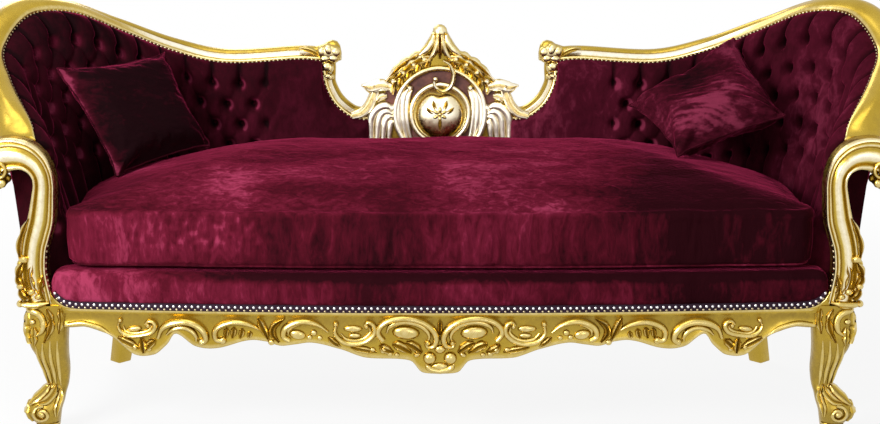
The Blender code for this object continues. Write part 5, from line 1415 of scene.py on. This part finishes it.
def copyTo(places, template):
    points, faces = [], []
    for spot, normal in places:
        turn = normal.to_track_quat("Z", "Y").to_matrix()
        start = len(points)
        points += [spot + turn @ p for p in template[0]]
        faces += [tuple(start + i for i in face) for face in template[1]]
    return points, faces


def scatter(name, places, template, material):
    piece = makePiece(name, *copyTo(places, template), material, turn=False)
    return piece


buttonTemplate = domeTemplate(padding["button"], 0.55, 12, 8, 0.0012)
for label, side in sides.items():
    scatter(f"backButtons{label}", stuffPadding(label, side), buttonTemplate, backVelvet)
print("settee: back and wings buttoned")


# outer covers of the back and the wings

covers = {"columns": 150, "rows": 46, "from": -0.998, "to": 9.995, "inner": 0.0412, "outer": 0.0455,
          "middle": 0.045, "puff": 0.0055, "ripple": 0.0016, "fill": 0.3}
wingEndSection = [(-0.012, 0.0), (0.010, -0.0009), (0.030, -0.0010), (0.0505, 0.0), (0.0505, 0.0060),
                  (-0.012, 0.0060)]


def outerCover(label, side):
    def middleLine(k):
        return shell(k, 0.6, covers["middle"])

    columns = evenStations(covers["from"], covers["to"], covers["columns"], middleLine)[0]
    front = []
    for r in range(covers["rows"]):
        v = r / (covers["rows"] - 1)
        line = []
        for k in columns:
            spot = shell(k, v, 0)
            puff = covers["puff"] * math.sin(math.pi * v) ** 0.5
            puff += waver(spot.x * 5, spot.y * 5, v * 3) * covers["ripple"]
            line.append(flipped(shell(k, v, covers["outer"] + max(0, puff)), side))
        front.append(line)
    back = [[flipped(shell(k, v, covers["inner"]), side) for k in columns] for v in (0, 1)]
    points, faces = closedPad(front, back, len(columns), covers["rows"])
    piece = makePiece(f"outerCover{label}", points, faces, backVelvet, angle=60)
    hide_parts(f"outer_back_cover_{label.lower()}", f"outer_wing_cover_{label.lower()}")


def wingEnd(label, side):  # the narrow front of the wing, behind the arm post
    rings = []
    for i in range(25):
        v = 0.012 + 0.976 * i / 24
        ring = []
        for w, ahead in wingEndSection:
            p = shell(roundEnd, v, w)
            ring.append(Vector((p.x * side, settee["wingFrontY"] + 0.0004 + ahead, p.z)))
        rings.append(ring)
    ringPiece(f"wingEnd{label}", [rings], backVelvet, angle=60)


for label, side in sides.items():
    outerCover(label, side)
    wingEnd(label, side)
print("settee: outer covers fitted")


# cushion, deck and pillows

def softCopy(node, name, voxel, shrink):
    piece = nodeCopy(node, name, 0.0002)
    bpy.ops.transform.shrink_fatten(value=-shrink)
    bpy.ops.object.mode_set(mode="OBJECT")
    piece.data.remesh_voxel_size = voxel
    bpy.ops.object.voxel_remesh()
    return piece


def pointsOf(mesh):
    flat = np.empty(len(mesh.vertices) * 3, np.float32)
    mesh.vertices.foreach_get("co", flat)
    return flat.reshape(-1, 3).astype(np.float64)


def normalsOf(mesh):
    flat = np.empty(len(mesh.vertices) * 3, np.float32)
    mesh.vertex_normals.foreach_get("vector", flat)
    return flat.reshape(-1, 3).astype(np.float64)


def putPoints(mesh, points):
    mesh.vertices.foreach_set("co", points.astype(np.float32).ravel())
    mesh.update()


coverCloth = {"quality": 4, "mass": 0.3, "tension_stiffness": 12, "compression_stiffness": 6,
              "bending_stiffness": 0.4, "use_pressure": True}


def puffUp(piece, pressure, cap, frames):  # swells the cover with air, as stuffing does
    before = pointsOf(piece.data)
    pick(piece)
    bpy.ops.object.modifier_add(type="CLOTH")
    cloth = piece.modifiers[-1]
    for label, value in coverCloth.items():
        setattr(cloth.settings, label, value)
    cloth.settings.uniform_pressure_force = pressure
    cloth.settings.effector_weights.gravity = 0
    cloth.collision_settings.use_collision = False
    for f in range(1, frames + 1):
        scene.frame_set(f)
    graph = bpy.context.evaluated_depsgraph_get()
    shaped = piece.evaluated_get(graph)
    after = pointsOf(shaped.data)
    move = after - before
    far = np.linalg.norm(move, axis=1, keepdims=True)
    move *= np.minimum(1.0, cap / np.maximum(far, 1e-9))
    bpy.ops.object.modifier_remove(modifier=cloth.name)
    scene.frame_set(1)
    putPoints(piece.data, before + move)


def subdivide(piece, levels=1):
    pick(piece)
    modifier = piece.modifiers.new("soft", "SUBSURF")
    modifier.levels = modifier.render_levels = levels
    bpy.ops.object.modifier_apply(modifier=modifier.name)


def wrinkle(piece, amounts, layAndLightAt):  # depth, and painted light and shade with the lay of the pile, at a point with a normal
    points, normals = pointsOf(piece.data), normalsOf(piece.data)
    layAndLightValues = []
    for i, (p, n) in enumerate(zip(points.copy(), normals)):
        points[i] += n * amounts(p, n)
        layAndLightValues.append(layAndLightAt(p, n))
    putPoints(piece.data, points)
    putValues(piece, "layAndLight", layAndLightValues)


def finishSoft(piece, material, body, node, fill):
    piece.data.materials.append(material)
    pick(piece)
    bpy.ops.object.shade_smooth()
    standFor(piece, node, body)


cushion = {"voxel": 0.011, "shrink": 0.006, "pressure": 4.0, "cap": 0.009, "frames": 20, "topSeam": 0.529,
           "lowSeam": 0.4130, "welt": 0.0024, "spread": 0.025, "corner": 0.016, "creases": 44,
           "square": 0.0095, "seamWide": 0.0055, "middleY": -0.03, "aimHalf": 0.55, "seamPoints": 420,
           "fill": 0.85}
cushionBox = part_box("seat_cushion")
seatCushion = softCopy("seat_cushion", "seatCushion", cushion["voxel"], cushion["shrink"])
puffUp(seatCushion, cushion["pressure"], cushion["cap"], cushion["frames"])
subdivide(seatCushion)
draw = random.Random(11)
creases = []  # upright creases on the front: place, slant, width, depth, and their middle and reach in height
for _ in range(cushion["creases"]):
    x = draw.triangular(-0.86, 0.86, -0.15)
    creases.append((x, draw.uniform(-0.16, 0.16), draw.uniform(0.0035, 0.0085), draw.uniform(-0.0042, 0.0036),
                    draw.uniform(0.445, 0.515), draw.uniform(0.022, 0.055)))


def cushionFolds(p, n):
    front = max(0.0, -n[1])
    level = abs(n[2])
    crush = waver(p[0] * 22, p[1] * 8, p[2] * 6) * 0.0034 * front
    crush += waver(p[0] * 55, p[1] * 20, p[2] * 10) * 0.0012 * front
    if front > 0.3:
        for x, slant, wide, deep, middle, reach in creases:
            away = (p[0] - x - (p[2] - middle) * slant) / wide
            if abs(away) < 3:
                crush += deep * front * math.exp(-away ** 2 - ((p[2] - middle) / reach) ** 2)
    broad = waver(p[0] * 4, p[1] * 6, 3.0) * 0.0060 * level
    fine = waver(p[0] * 16, p[1] * 30, 7.0) * 0.0014 * level
    seam = 0.0
    if level < 0.75:
        for height, deep in ((cushion["topSeam"], 0.0016), (cushion["lowSeam"], 0.0026)):
            seam -= deep * bell(p[2], height, cushion["seamWide"])
    boxed = 0.0
    if p[2] > 0.45 and n[1] < 0.3:  # squares the upper edge of the front and of its corners
        slope = math.atan2(n[2], math.hypot(n[0], min(0.0, n[1])))
        boxed = cushion["square"] * bell(slope, 0.72, 0.36) * smoothStep(0.3, -0.2, n[1])
    return crush + broad * (p[2] > 0.5) + fine + seam + boxed


def cushionLayAndLight(p, n):
    x = p[0]
    # painted light on the front: the left end lighter, the right darker, with painted highlight patches on
    # the front's left
    front = 0.50 * smoothStep(-0.30, -0.8, x) - 0.36 * smoothStep(0.1, 0.6, x)
    front -= 0.16 * smoothStep(0.5, 0.75, x) + 0.14
    crushHighlight = waver(x * 70, 1.0, p[2] * 60) * smoothStep(0.20, 0.08, abs(x + 0.56))
    front += 0.55 * max(0.0, crushHighlight + 0.12) * smoothStep(0.43, 0.47, p[2])
    # painted light on the top: lighter at the left, dark at the right, with painted shade at the back of the
    # left end
    above = 0.14 * smoothStep(0.5, 0.1, x) - smoothStep(0.26, 0.66, x) - 0.12 * smoothStep(-0.3, -0.65, x)
    above -= 0.3 * smoothStep(0.55, 0.75, x) + 0.2 * smoothStep(-0.05, 0.1, p[1]) * smoothStep(-0.5, -0.7, x)
    return front + (above - front) * smoothStep(0.48, 0.80, n[2])


wrinkle(seatCushion, cushionFolds, cushionLayAndLight)
seatPoints = pointsOf(seatCushion.data)
for p in seatPoints:  # the ends swell out to the wings, most at the front corners
    swell = cushion["spread"] + cushion["corner"] * smoothStep(-0.24, -0.30, p[1])
    p[0] += math.copysign(swell * smoothStep(0.66, 0.85, abs(p[0])), p[0])
seatPoints[:, 2] = np.maximum(seatPoints[:, 2], cushionBox[0][2] + 0.0004)
putPoints(seatCushion.data, seatPoints)
finishSoft(seatCushion, seatVelvet, "seat_cushion", "seat_cushion", cushion["fill"])


def seamPath(piece):  # found with rays from outside, level with the lower seam
    tree = BVHTree.FromObject(piece, bpy.context.evaluated_depsgraph_get())
    middle, height, reach = cushion["middleY"], cushion["lowSeam"], cushion["aimHalf"]
    path = []
    for angle in roundTurn(cushion["seamPoints"]):
        c, s = math.cos(angle), math.sin(angle)
        x, y = math.copysign(abs(c) ** 0.4, c) * 1.1, middle + math.copysign(abs(s) ** 0.4, s) * 0.6
        spot = Vector((x, y, height))
        aim = Vector((max(-reach, min(reach, spot.x)), middle, height))
        hit = tree.ray_cast(spot, (aim - spot).normalized())
        if hit[0]:
            path.append(hit[0])
    return path


def closedTube(name, path, facing, radius, material, body):
    rings = []
    for i, p in enumerate(path):
        way = (path[(i + 1) % len(path)] - path[i - 1]).normalized()
        aside = way.cross(facing).normalized()
        above = aside.cross(way)
        rings.append([p + (aside * math.cos(a) + above * math.sin(a)) * radius for a in roundTurn(8)])
    ringPiece(name, [rings], material, body, angle=80, closed=True)


closedTube("cushionWelt", seamPath(seatCushion), up, cushion["welt"], seatVelvet, "seat_cushion")
print("settee: seat cushion stuffed")

deck = {"voxel": 0.0108, "shrink": 0.002, "spread": 0.011, "band": 0.082, "swell": 0.0035, "fill": 0.8}
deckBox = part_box("seat_deck")


def deckFolds(p, n):
    front = max(0.0, -n[1])
    crush = waver(p[0] * 24, p[1] * 8, p[2] * 7 + 5) * 0.0026 * front
    crush += waver(p[0] * 60, p[1] * 20, p[2] * 12 + 5) * 0.0010 * front
    rise = max(0.0, min(1.0, (p[2] - deckBox[0][2]) / deck["band"]))
    return crush + deck["swell"] * front * math.sin(math.pi * rise) + 0.0012 * (abs(n[2]) < 0.5)


def deckPaintedLight(p, n):  # painted light: lighter at the left end, darker at the right, and painted shade where the cushion shades it
    top = deckBox[1][2]
    shaded = 0.7 * smoothStep(top - 0.030, top - 0.010, p[2]) * smoothStep(-0.78, -0.4, p[0])
    return 0.40 * smoothStep(-0.2, -0.8, p[0]) - 0.42 * smoothStep(0.1, 0.6, p[0]) - shaded


seatDeck = softCopy("seat_deck", "seatDeck", deck["voxel"], deck["shrink"])
subdivide(seatDeck)
wrinkle(seatDeck, deckFolds, deckPaintedLight)
deckPoints = pointsOf(seatDeck.data)
for p in deckPoints:
    swell = deck["spread"] * smoothStep(0.75, 0.87, abs(p[0])) * smoothStep(-0.24, -0.30, p[1])
    p[0] += math.copysign(swell, p[0])
deckPoints[:, 2] = np.clip(deckPoints[:, 2], deckBox[0][2], deckBox[1][2])
putPoints(seatDeck.data, deckPoints)
finishSoft(seatDeck, seatVelvet, "frame", "seat_deck", deck["fill"])
print("settee: deck padded")

pillows = {"voxel": 0.0055, "shrink": 0.004, "pressure": 5.0, "cap": 0.009, "frames": 20, "half": 0.1525,
           "pull": 0.055, "welt": 0.0026, "reach": 0.072, "seamPoints": 240, "fill": 0.7}
pillowPull = {  # how far each corner is drawn, from lower left round to upper left
    "Left": ((0.007, 0, -0.004), (-0.005, 0, 0.007), (0.010, 0, -0.012), (-0.012, 0, 0.012)),
    "Right": ((-0.005, -0.004, 0.004), (-0.006, 0, -0.027), (-0.014, 0, 0.031), (-0.009, 0, -0.024))}
pillowAxes = {  # centre, edge and up directions
    "Left": ((-0.7599, 0.0691, 0.7081), (0.745, 0.657, 0.113), (-0.473, 0.401, 0.784)),
    "Right": ((0.6775, 0.0720, 0.7306), (0.908, 0.160, 0.387), (-0.308, 0.881, 0.360))}


def drawnCorner(label, x, y):
    move = Vector((0, 0, 0))
    for (cx, cy), pull in zip(((-1, -1), (1, -1), (1, 1), (-1, 1)), pillowPull[label]):
        move += Vector(pull) * (max(0.0, (1 + cx * x) / 2) * max(0.0, (1 + cy * y) / 2)) ** 1.4
    return move


def hump(x, y, atX, atY, wideX, wideY):
    return math.exp(-((x - atX) / wideX) ** 2 - ((y - atY) / wideY) ** 2)


def stuffPillow(label):
    node = f"pillow_{label.lower()}"
    centre, edge, rise = (Vector(v) for v in pillowAxes[label])
    edge.normalize()
    rise = (rise - edge * rise.dot(edge)).normalized()
    face = edge.cross(rise)
    slumped = label == "Right"  # this one is dented above and bulges below
    half = pillows["half"]
    piece = softCopy(node, f"pillow{label}", pillows["voxel"], pillows["shrink"])
    puffUp(piece, pillows["pressure"], pillows["cap"], pillows["frames"])
    subdivide(piece)

    def folds(p, n):
        spot = Vector(p) - centre
        x, y, lift = spot.dot(edge) / half, spot.dot(rise) / half, spot.dot(face)
        corner = 0.0
        for cx in (-1, 1):
            for cy in (-1, 1):
                far = math.hypot(x - cx, y - cy)
                gather = math.cos(math.atan2(y - cy, x - cx) * 14 + cx * 2)
                corner += 0.0030 * gather * bell(far, 0.38, 0.28)
        rim = smoothStep(1.0, 0.75, max(abs(x), abs(y)))
        along, aside = x * 0.86 - y * 0.5, x * 0.5 + y * 0.86
        crush = waver(along * 1.8, aside * 6.0, lift * 5) * 0.0030
        crush += waver(along * 4.0, aside * 15.0, 2.0) * 0.0014
        if slumped and lift > 0:
            bulge = hump(x, y, 0.0, -0.42, 0.62, 0.40)
            crush += 0.010 * bulge - 0.016 * hump(x, y, 0.12, 0.36, 0.55, 0.34)
            crush += waver(along * 2.6, aside * 17.0, 6.0) * 0.0052 * bulge
            fan = math.atan2(y + 0.9, x - 0.95)  # folds that fan out from the lower right corner
            crush += 0.0040 * math.cos(fan * 19) * bell(math.hypot(x - 0.95, y + 0.9), 0.5, 0.36)
        return (corner + crush) * max(rim, 0.25) if slumped else corner * 0.6 + crush * rim * 0.7

    # painted light and shade on the pillow's cover
    def layAndLightAt(p, n):
        spot = Vector(p) - centre
        x, y = spot.dot(edge) / half, spot.dot(rise) / half
        if slumped:
            # painted highlight streaks below the middle of the slumped pillow, painted shade in its dent
            # above
            streak = waver(x * 2.0 - y * 1.2, x * 8.0 + y * 13.0, 4.0)
            layAndLight = (0.56 + 0.72 * streak) * hump(x, y, -0.10, -0.42, 0.72, 0.46)
            layAndLight -= 0.34 * hump(x, y, 0.05, 0.34, 0.45, 0.32)
            layAndLight += 0.30 * smoothStep(0.65, 0.95, y)
            return layAndLight + 0.50 * smoothStep(0.55, 0.88, x) * smoothStep(-0.7, -0.1, y)
        # painted highlight along the left pillow's lit edge, painted shade over its face
        lit = 0.95 * bell(x, -0.90, 0.055) + 0.30 * smoothStep(-0.66, -0.84, x)
        return lit - 0.52 + 0.35 * smoothStep(0.84, 0.96, y)

    wrinkle(piece, folds, layAndLightAt)
    points = pointsOf(piece.data)
    for p in points:
        spot = Vector(p) - centre
        x, y = spot.dot(edge) / half, spot.dot(rise) / half
        fill = pillows["reach"] * half * max(abs(x), abs(y)) ** 4  # out to the sewn edge
        p += np.array(drawnCorner(label, x, y) + (edge * x + rise * y) * fill)
    putPoints(piece.data, points)
    finishSoft(piece, pillowVelvet, node, node, pillows["fill"])
    seam = []
    for n in range(pillows["seamPoints"]):  # welt along the sewn edge, which draws in between the corners
        edgeNumber, s = divmod(n * 4 / pillows["seamPoints"], 1)
        t = 2 * s - 1
        a, b = [(t, -1), (1, t), (-t, 1), (-1, -t)][int(edgeNumber)]
        x = a * half * (1 - pillows["pull"] * (1 - b * b) * abs(a))
        y = b * half * (1 - pillows["pull"] * (1 - a * a) * abs(b))
        seam.append(centre + edge * x + rise * y + drawnCorner(label, x / half, y / half))
    tree = BVHTree.FromObject(piece, bpy.context.evaluated_depsgraph_get())
    seam = [tree.find_nearest(p)[0] for p in seam]  # laid onto the cover
    for _ in range(3):
        seam = [(seam[i - 1] + seam[i] * 2 + seam[(i + 1) % len(seam)]) / 4 for i in range(len(seam))]
    closedTube(f"pillowWelt{label}", seam, face, pillows["welt"], pillowVelvet, node)


for label in sides:
    stuffPillow(label)
print("settee: pillows stuffed")


# nails

nails = {"pitch": 0.0145, "front": 0.0036, "bead": 0.0031, "small": 0.0031, "smallPitch": 0.0112,
         "postPitch": 0.01456, "gimp": 0.0082, "gimpAt": 0.3196, "nailsAt": 0.3226, "beadsAt": 0.3150,
         "straightTo": 0.850, "endY": -0.3705}
nailLineEnd = [(0.868, 0.0016), (0.883, 0.0062), (0.8945, 0.0140), (0.9055, 0.0270)]  # x, rise
gimpSection = [(0.0004, -1), (-0.0006, -0.8), (-0.0010, 0), (-0.0006, 0.8), (0.0004, 1), (0.0080, 1),
               (0.0080, -1)]
frontNail = domeTemplate(nails["front"], 0.62, 10, 6)
frontBead = domeTemplate(nails["bead"], 0.62, 10, 6)
smallNail = domeTemplate(nails["small"], 0.62, 8, 5)


def spacedAlong(path, normals, pitch, shift=0.0):
    run = runAlong(path)
    count = round(run[-1] / pitch)
    found = []
    for n in range(count + (shift == 0)):
        goal = run[-1] * (n + shift) / count
        p = Vector([float(np.interp(goal, run, [q[c] for q in path])) for c in range(3)])
        m = Vector([float(np.interp(goal, run, [q[c] for q in normals])) for c in range(3)])
        found.append((p, m.normalized()))
    return found


def frontNailLine(height):  # along the front rail, then up into each post's inner edge
    half = [Vector((x, apronFace(x) - 0.0012, height)) for x in np.linspace(0, nails["straightTo"], 40)]
    half += [Vector((x, nails["endY"], height + rise)) for x, rise in nailLineEnd]
    return [flipped(p, -1) for p in reversed(half[1:])] + half


gimpLine, nailLine, beadLine = (frontNailLine(nails[row]) for row in ("gimpAt", "nailsAt", "beadsAt"))
facing = [Vector((0, -1, 0.3))] * len(gimpLine)
piece = scatter("nailsFront", spacedAlong(nailLine, facing, nails["pitch"]), frontNail, nickelNail)
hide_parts("nail_band_front")
scatter("beadsFront", spacedAlong(beadLine, facing, nails["pitch"], 0.5), frontBead, agedNail)
gimpRings = [[p + Vector((0, d, h * nails["gimp"])) for d, h in gimpSection] for p in gimpLine]
ringPiece("nailGimpFront", [gimpRings], violetGimp)

for label, side in sides.items():
    path, normals = [], []
    for i in range(60):  # up the inner edge of the post
        t = 0.8 + (3.4 - 0.8) * i / 59
        centre, aside, half = postFrame(t)
        path.append(centre - aside * (half * 0.99) - backward * 0.0245)
        normals.append(-aside - backward * 0.75)
    places = spacedAlong(path, normals, nails["postPitch"])
    path, normals = [], []
    for k in evenStations(-0.97, 9.3, 500, upperEdge)[0]:
        if -0.03 < k < 0.03:
            continue
        wide, high, middle = railSize(k)
        pointAt = dipLine if k < 0 else upperEdge
        out, away = edgeFrame(min(k, roundEnd - 0.03), pointAt)
        path.append(upperEdge(k) + out * (middle - wide / 2 - 0.0008) + away * (high * 0.05))
        normals.append(-out + away * 0.25)
    places += spacedAlong(path, normals, nails["smallPitch"])
    places = [(flipped(p, side), flipped(n, side)) for p, n in places]
    scatter(f"nails{label}", places, smallNail, agedNail)
print("settee: nails driven")


# plain frame members: gilded where they show, beech inside

plainFrame = {"bevel": 0.004, "segments": 3, "sharp": 35, "smooth": 40, "wearAndLight": 0.68, "merge": 0.00005}


def gildedCopy(node, name):
    piece = nodeCopy(node, name, plainFrame["merge"])
    bpy.ops.mesh.dissolve_limited(angle_limit=math.radians(2))
    bpy.ops.object.mode_set(mode="OBJECT")
    modifier = piece.modifiers.new("softEdge", "BEVEL")
    modifier.width = plainFrame["bevel"]
    modifier.segments = plainFrame["segments"]
    modifier.limit_method = "ANGLE"
    modifier.angle_limit = math.radians(plainFrame["sharp"])
    bpy.ops.object.modifier_apply(modifier=modifier.name)
    putValues(piece, "crest", [plainFrame["wearAndLight"]] * len(piece.data.vertices))
    piece.data.materials.append(goldLeaf)
    bpy.ops.object.shade_smooth_by_angle(angle=math.radians(plainFrame["smooth"]))
    standFor(piece, node)


for label in sides:
    gildedCopy(f"rear_leg_{label.lower()}", f"rearLeg{label}")
    gildedCopy(f"side_rail_{label.lower()}", f"sideRail{label}")
gildedCopy("rear_rail", "rearRail")


def clothSheet(node, name, material, cuts=0, shape=None):
    piece = nodeCopy(node, name, plainFrame["merge"])
    if cuts:
        bpy.ops.mesh.subdivide(number_cuts=cuts)
    bpy.ops.object.mode_set(mode="OBJECT")
    if shape:
        for corner in piece.data.vertices:
            corner.co.z += shape(corner.co)
    piece.data.materials.append(material)
    bpy.ops.object.shade_smooth_by_angle(angle=math.radians(plainFrame["smooth"]))
    standFor(piece, node)


def dustSag(p):  # hangs a little, and is tucked up behind the front rail
    inner = max(0.0, 1 - (p.x / 0.95) ** 2) * max(0.0, 1 - (p.y / 0.33) ** 2)
    return 0.0112 * smoothStep(-0.27, -0.31, p.y) - 0.009 * inner


clothSheet("dust_cover", "dustSheet", blackCambric, 5, dustSag)
clothSheet("seat_webbing", "seatWebbing", juteWebbing)
for label in sides:
    for place, wide in (("back", 0.80), ("wing", 0.64)):
        node, rail = f"{place}_hessian_{label.lower()}", f"{place}_lower_rail_{label.lower()}"
        clothSheet(node, f"{place}Hessian{label}", hessianCloth)
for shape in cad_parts.values():
    shape.data.materials.clear()
    shape.data.materials.append(beechWood)
print("settee: frame finished")
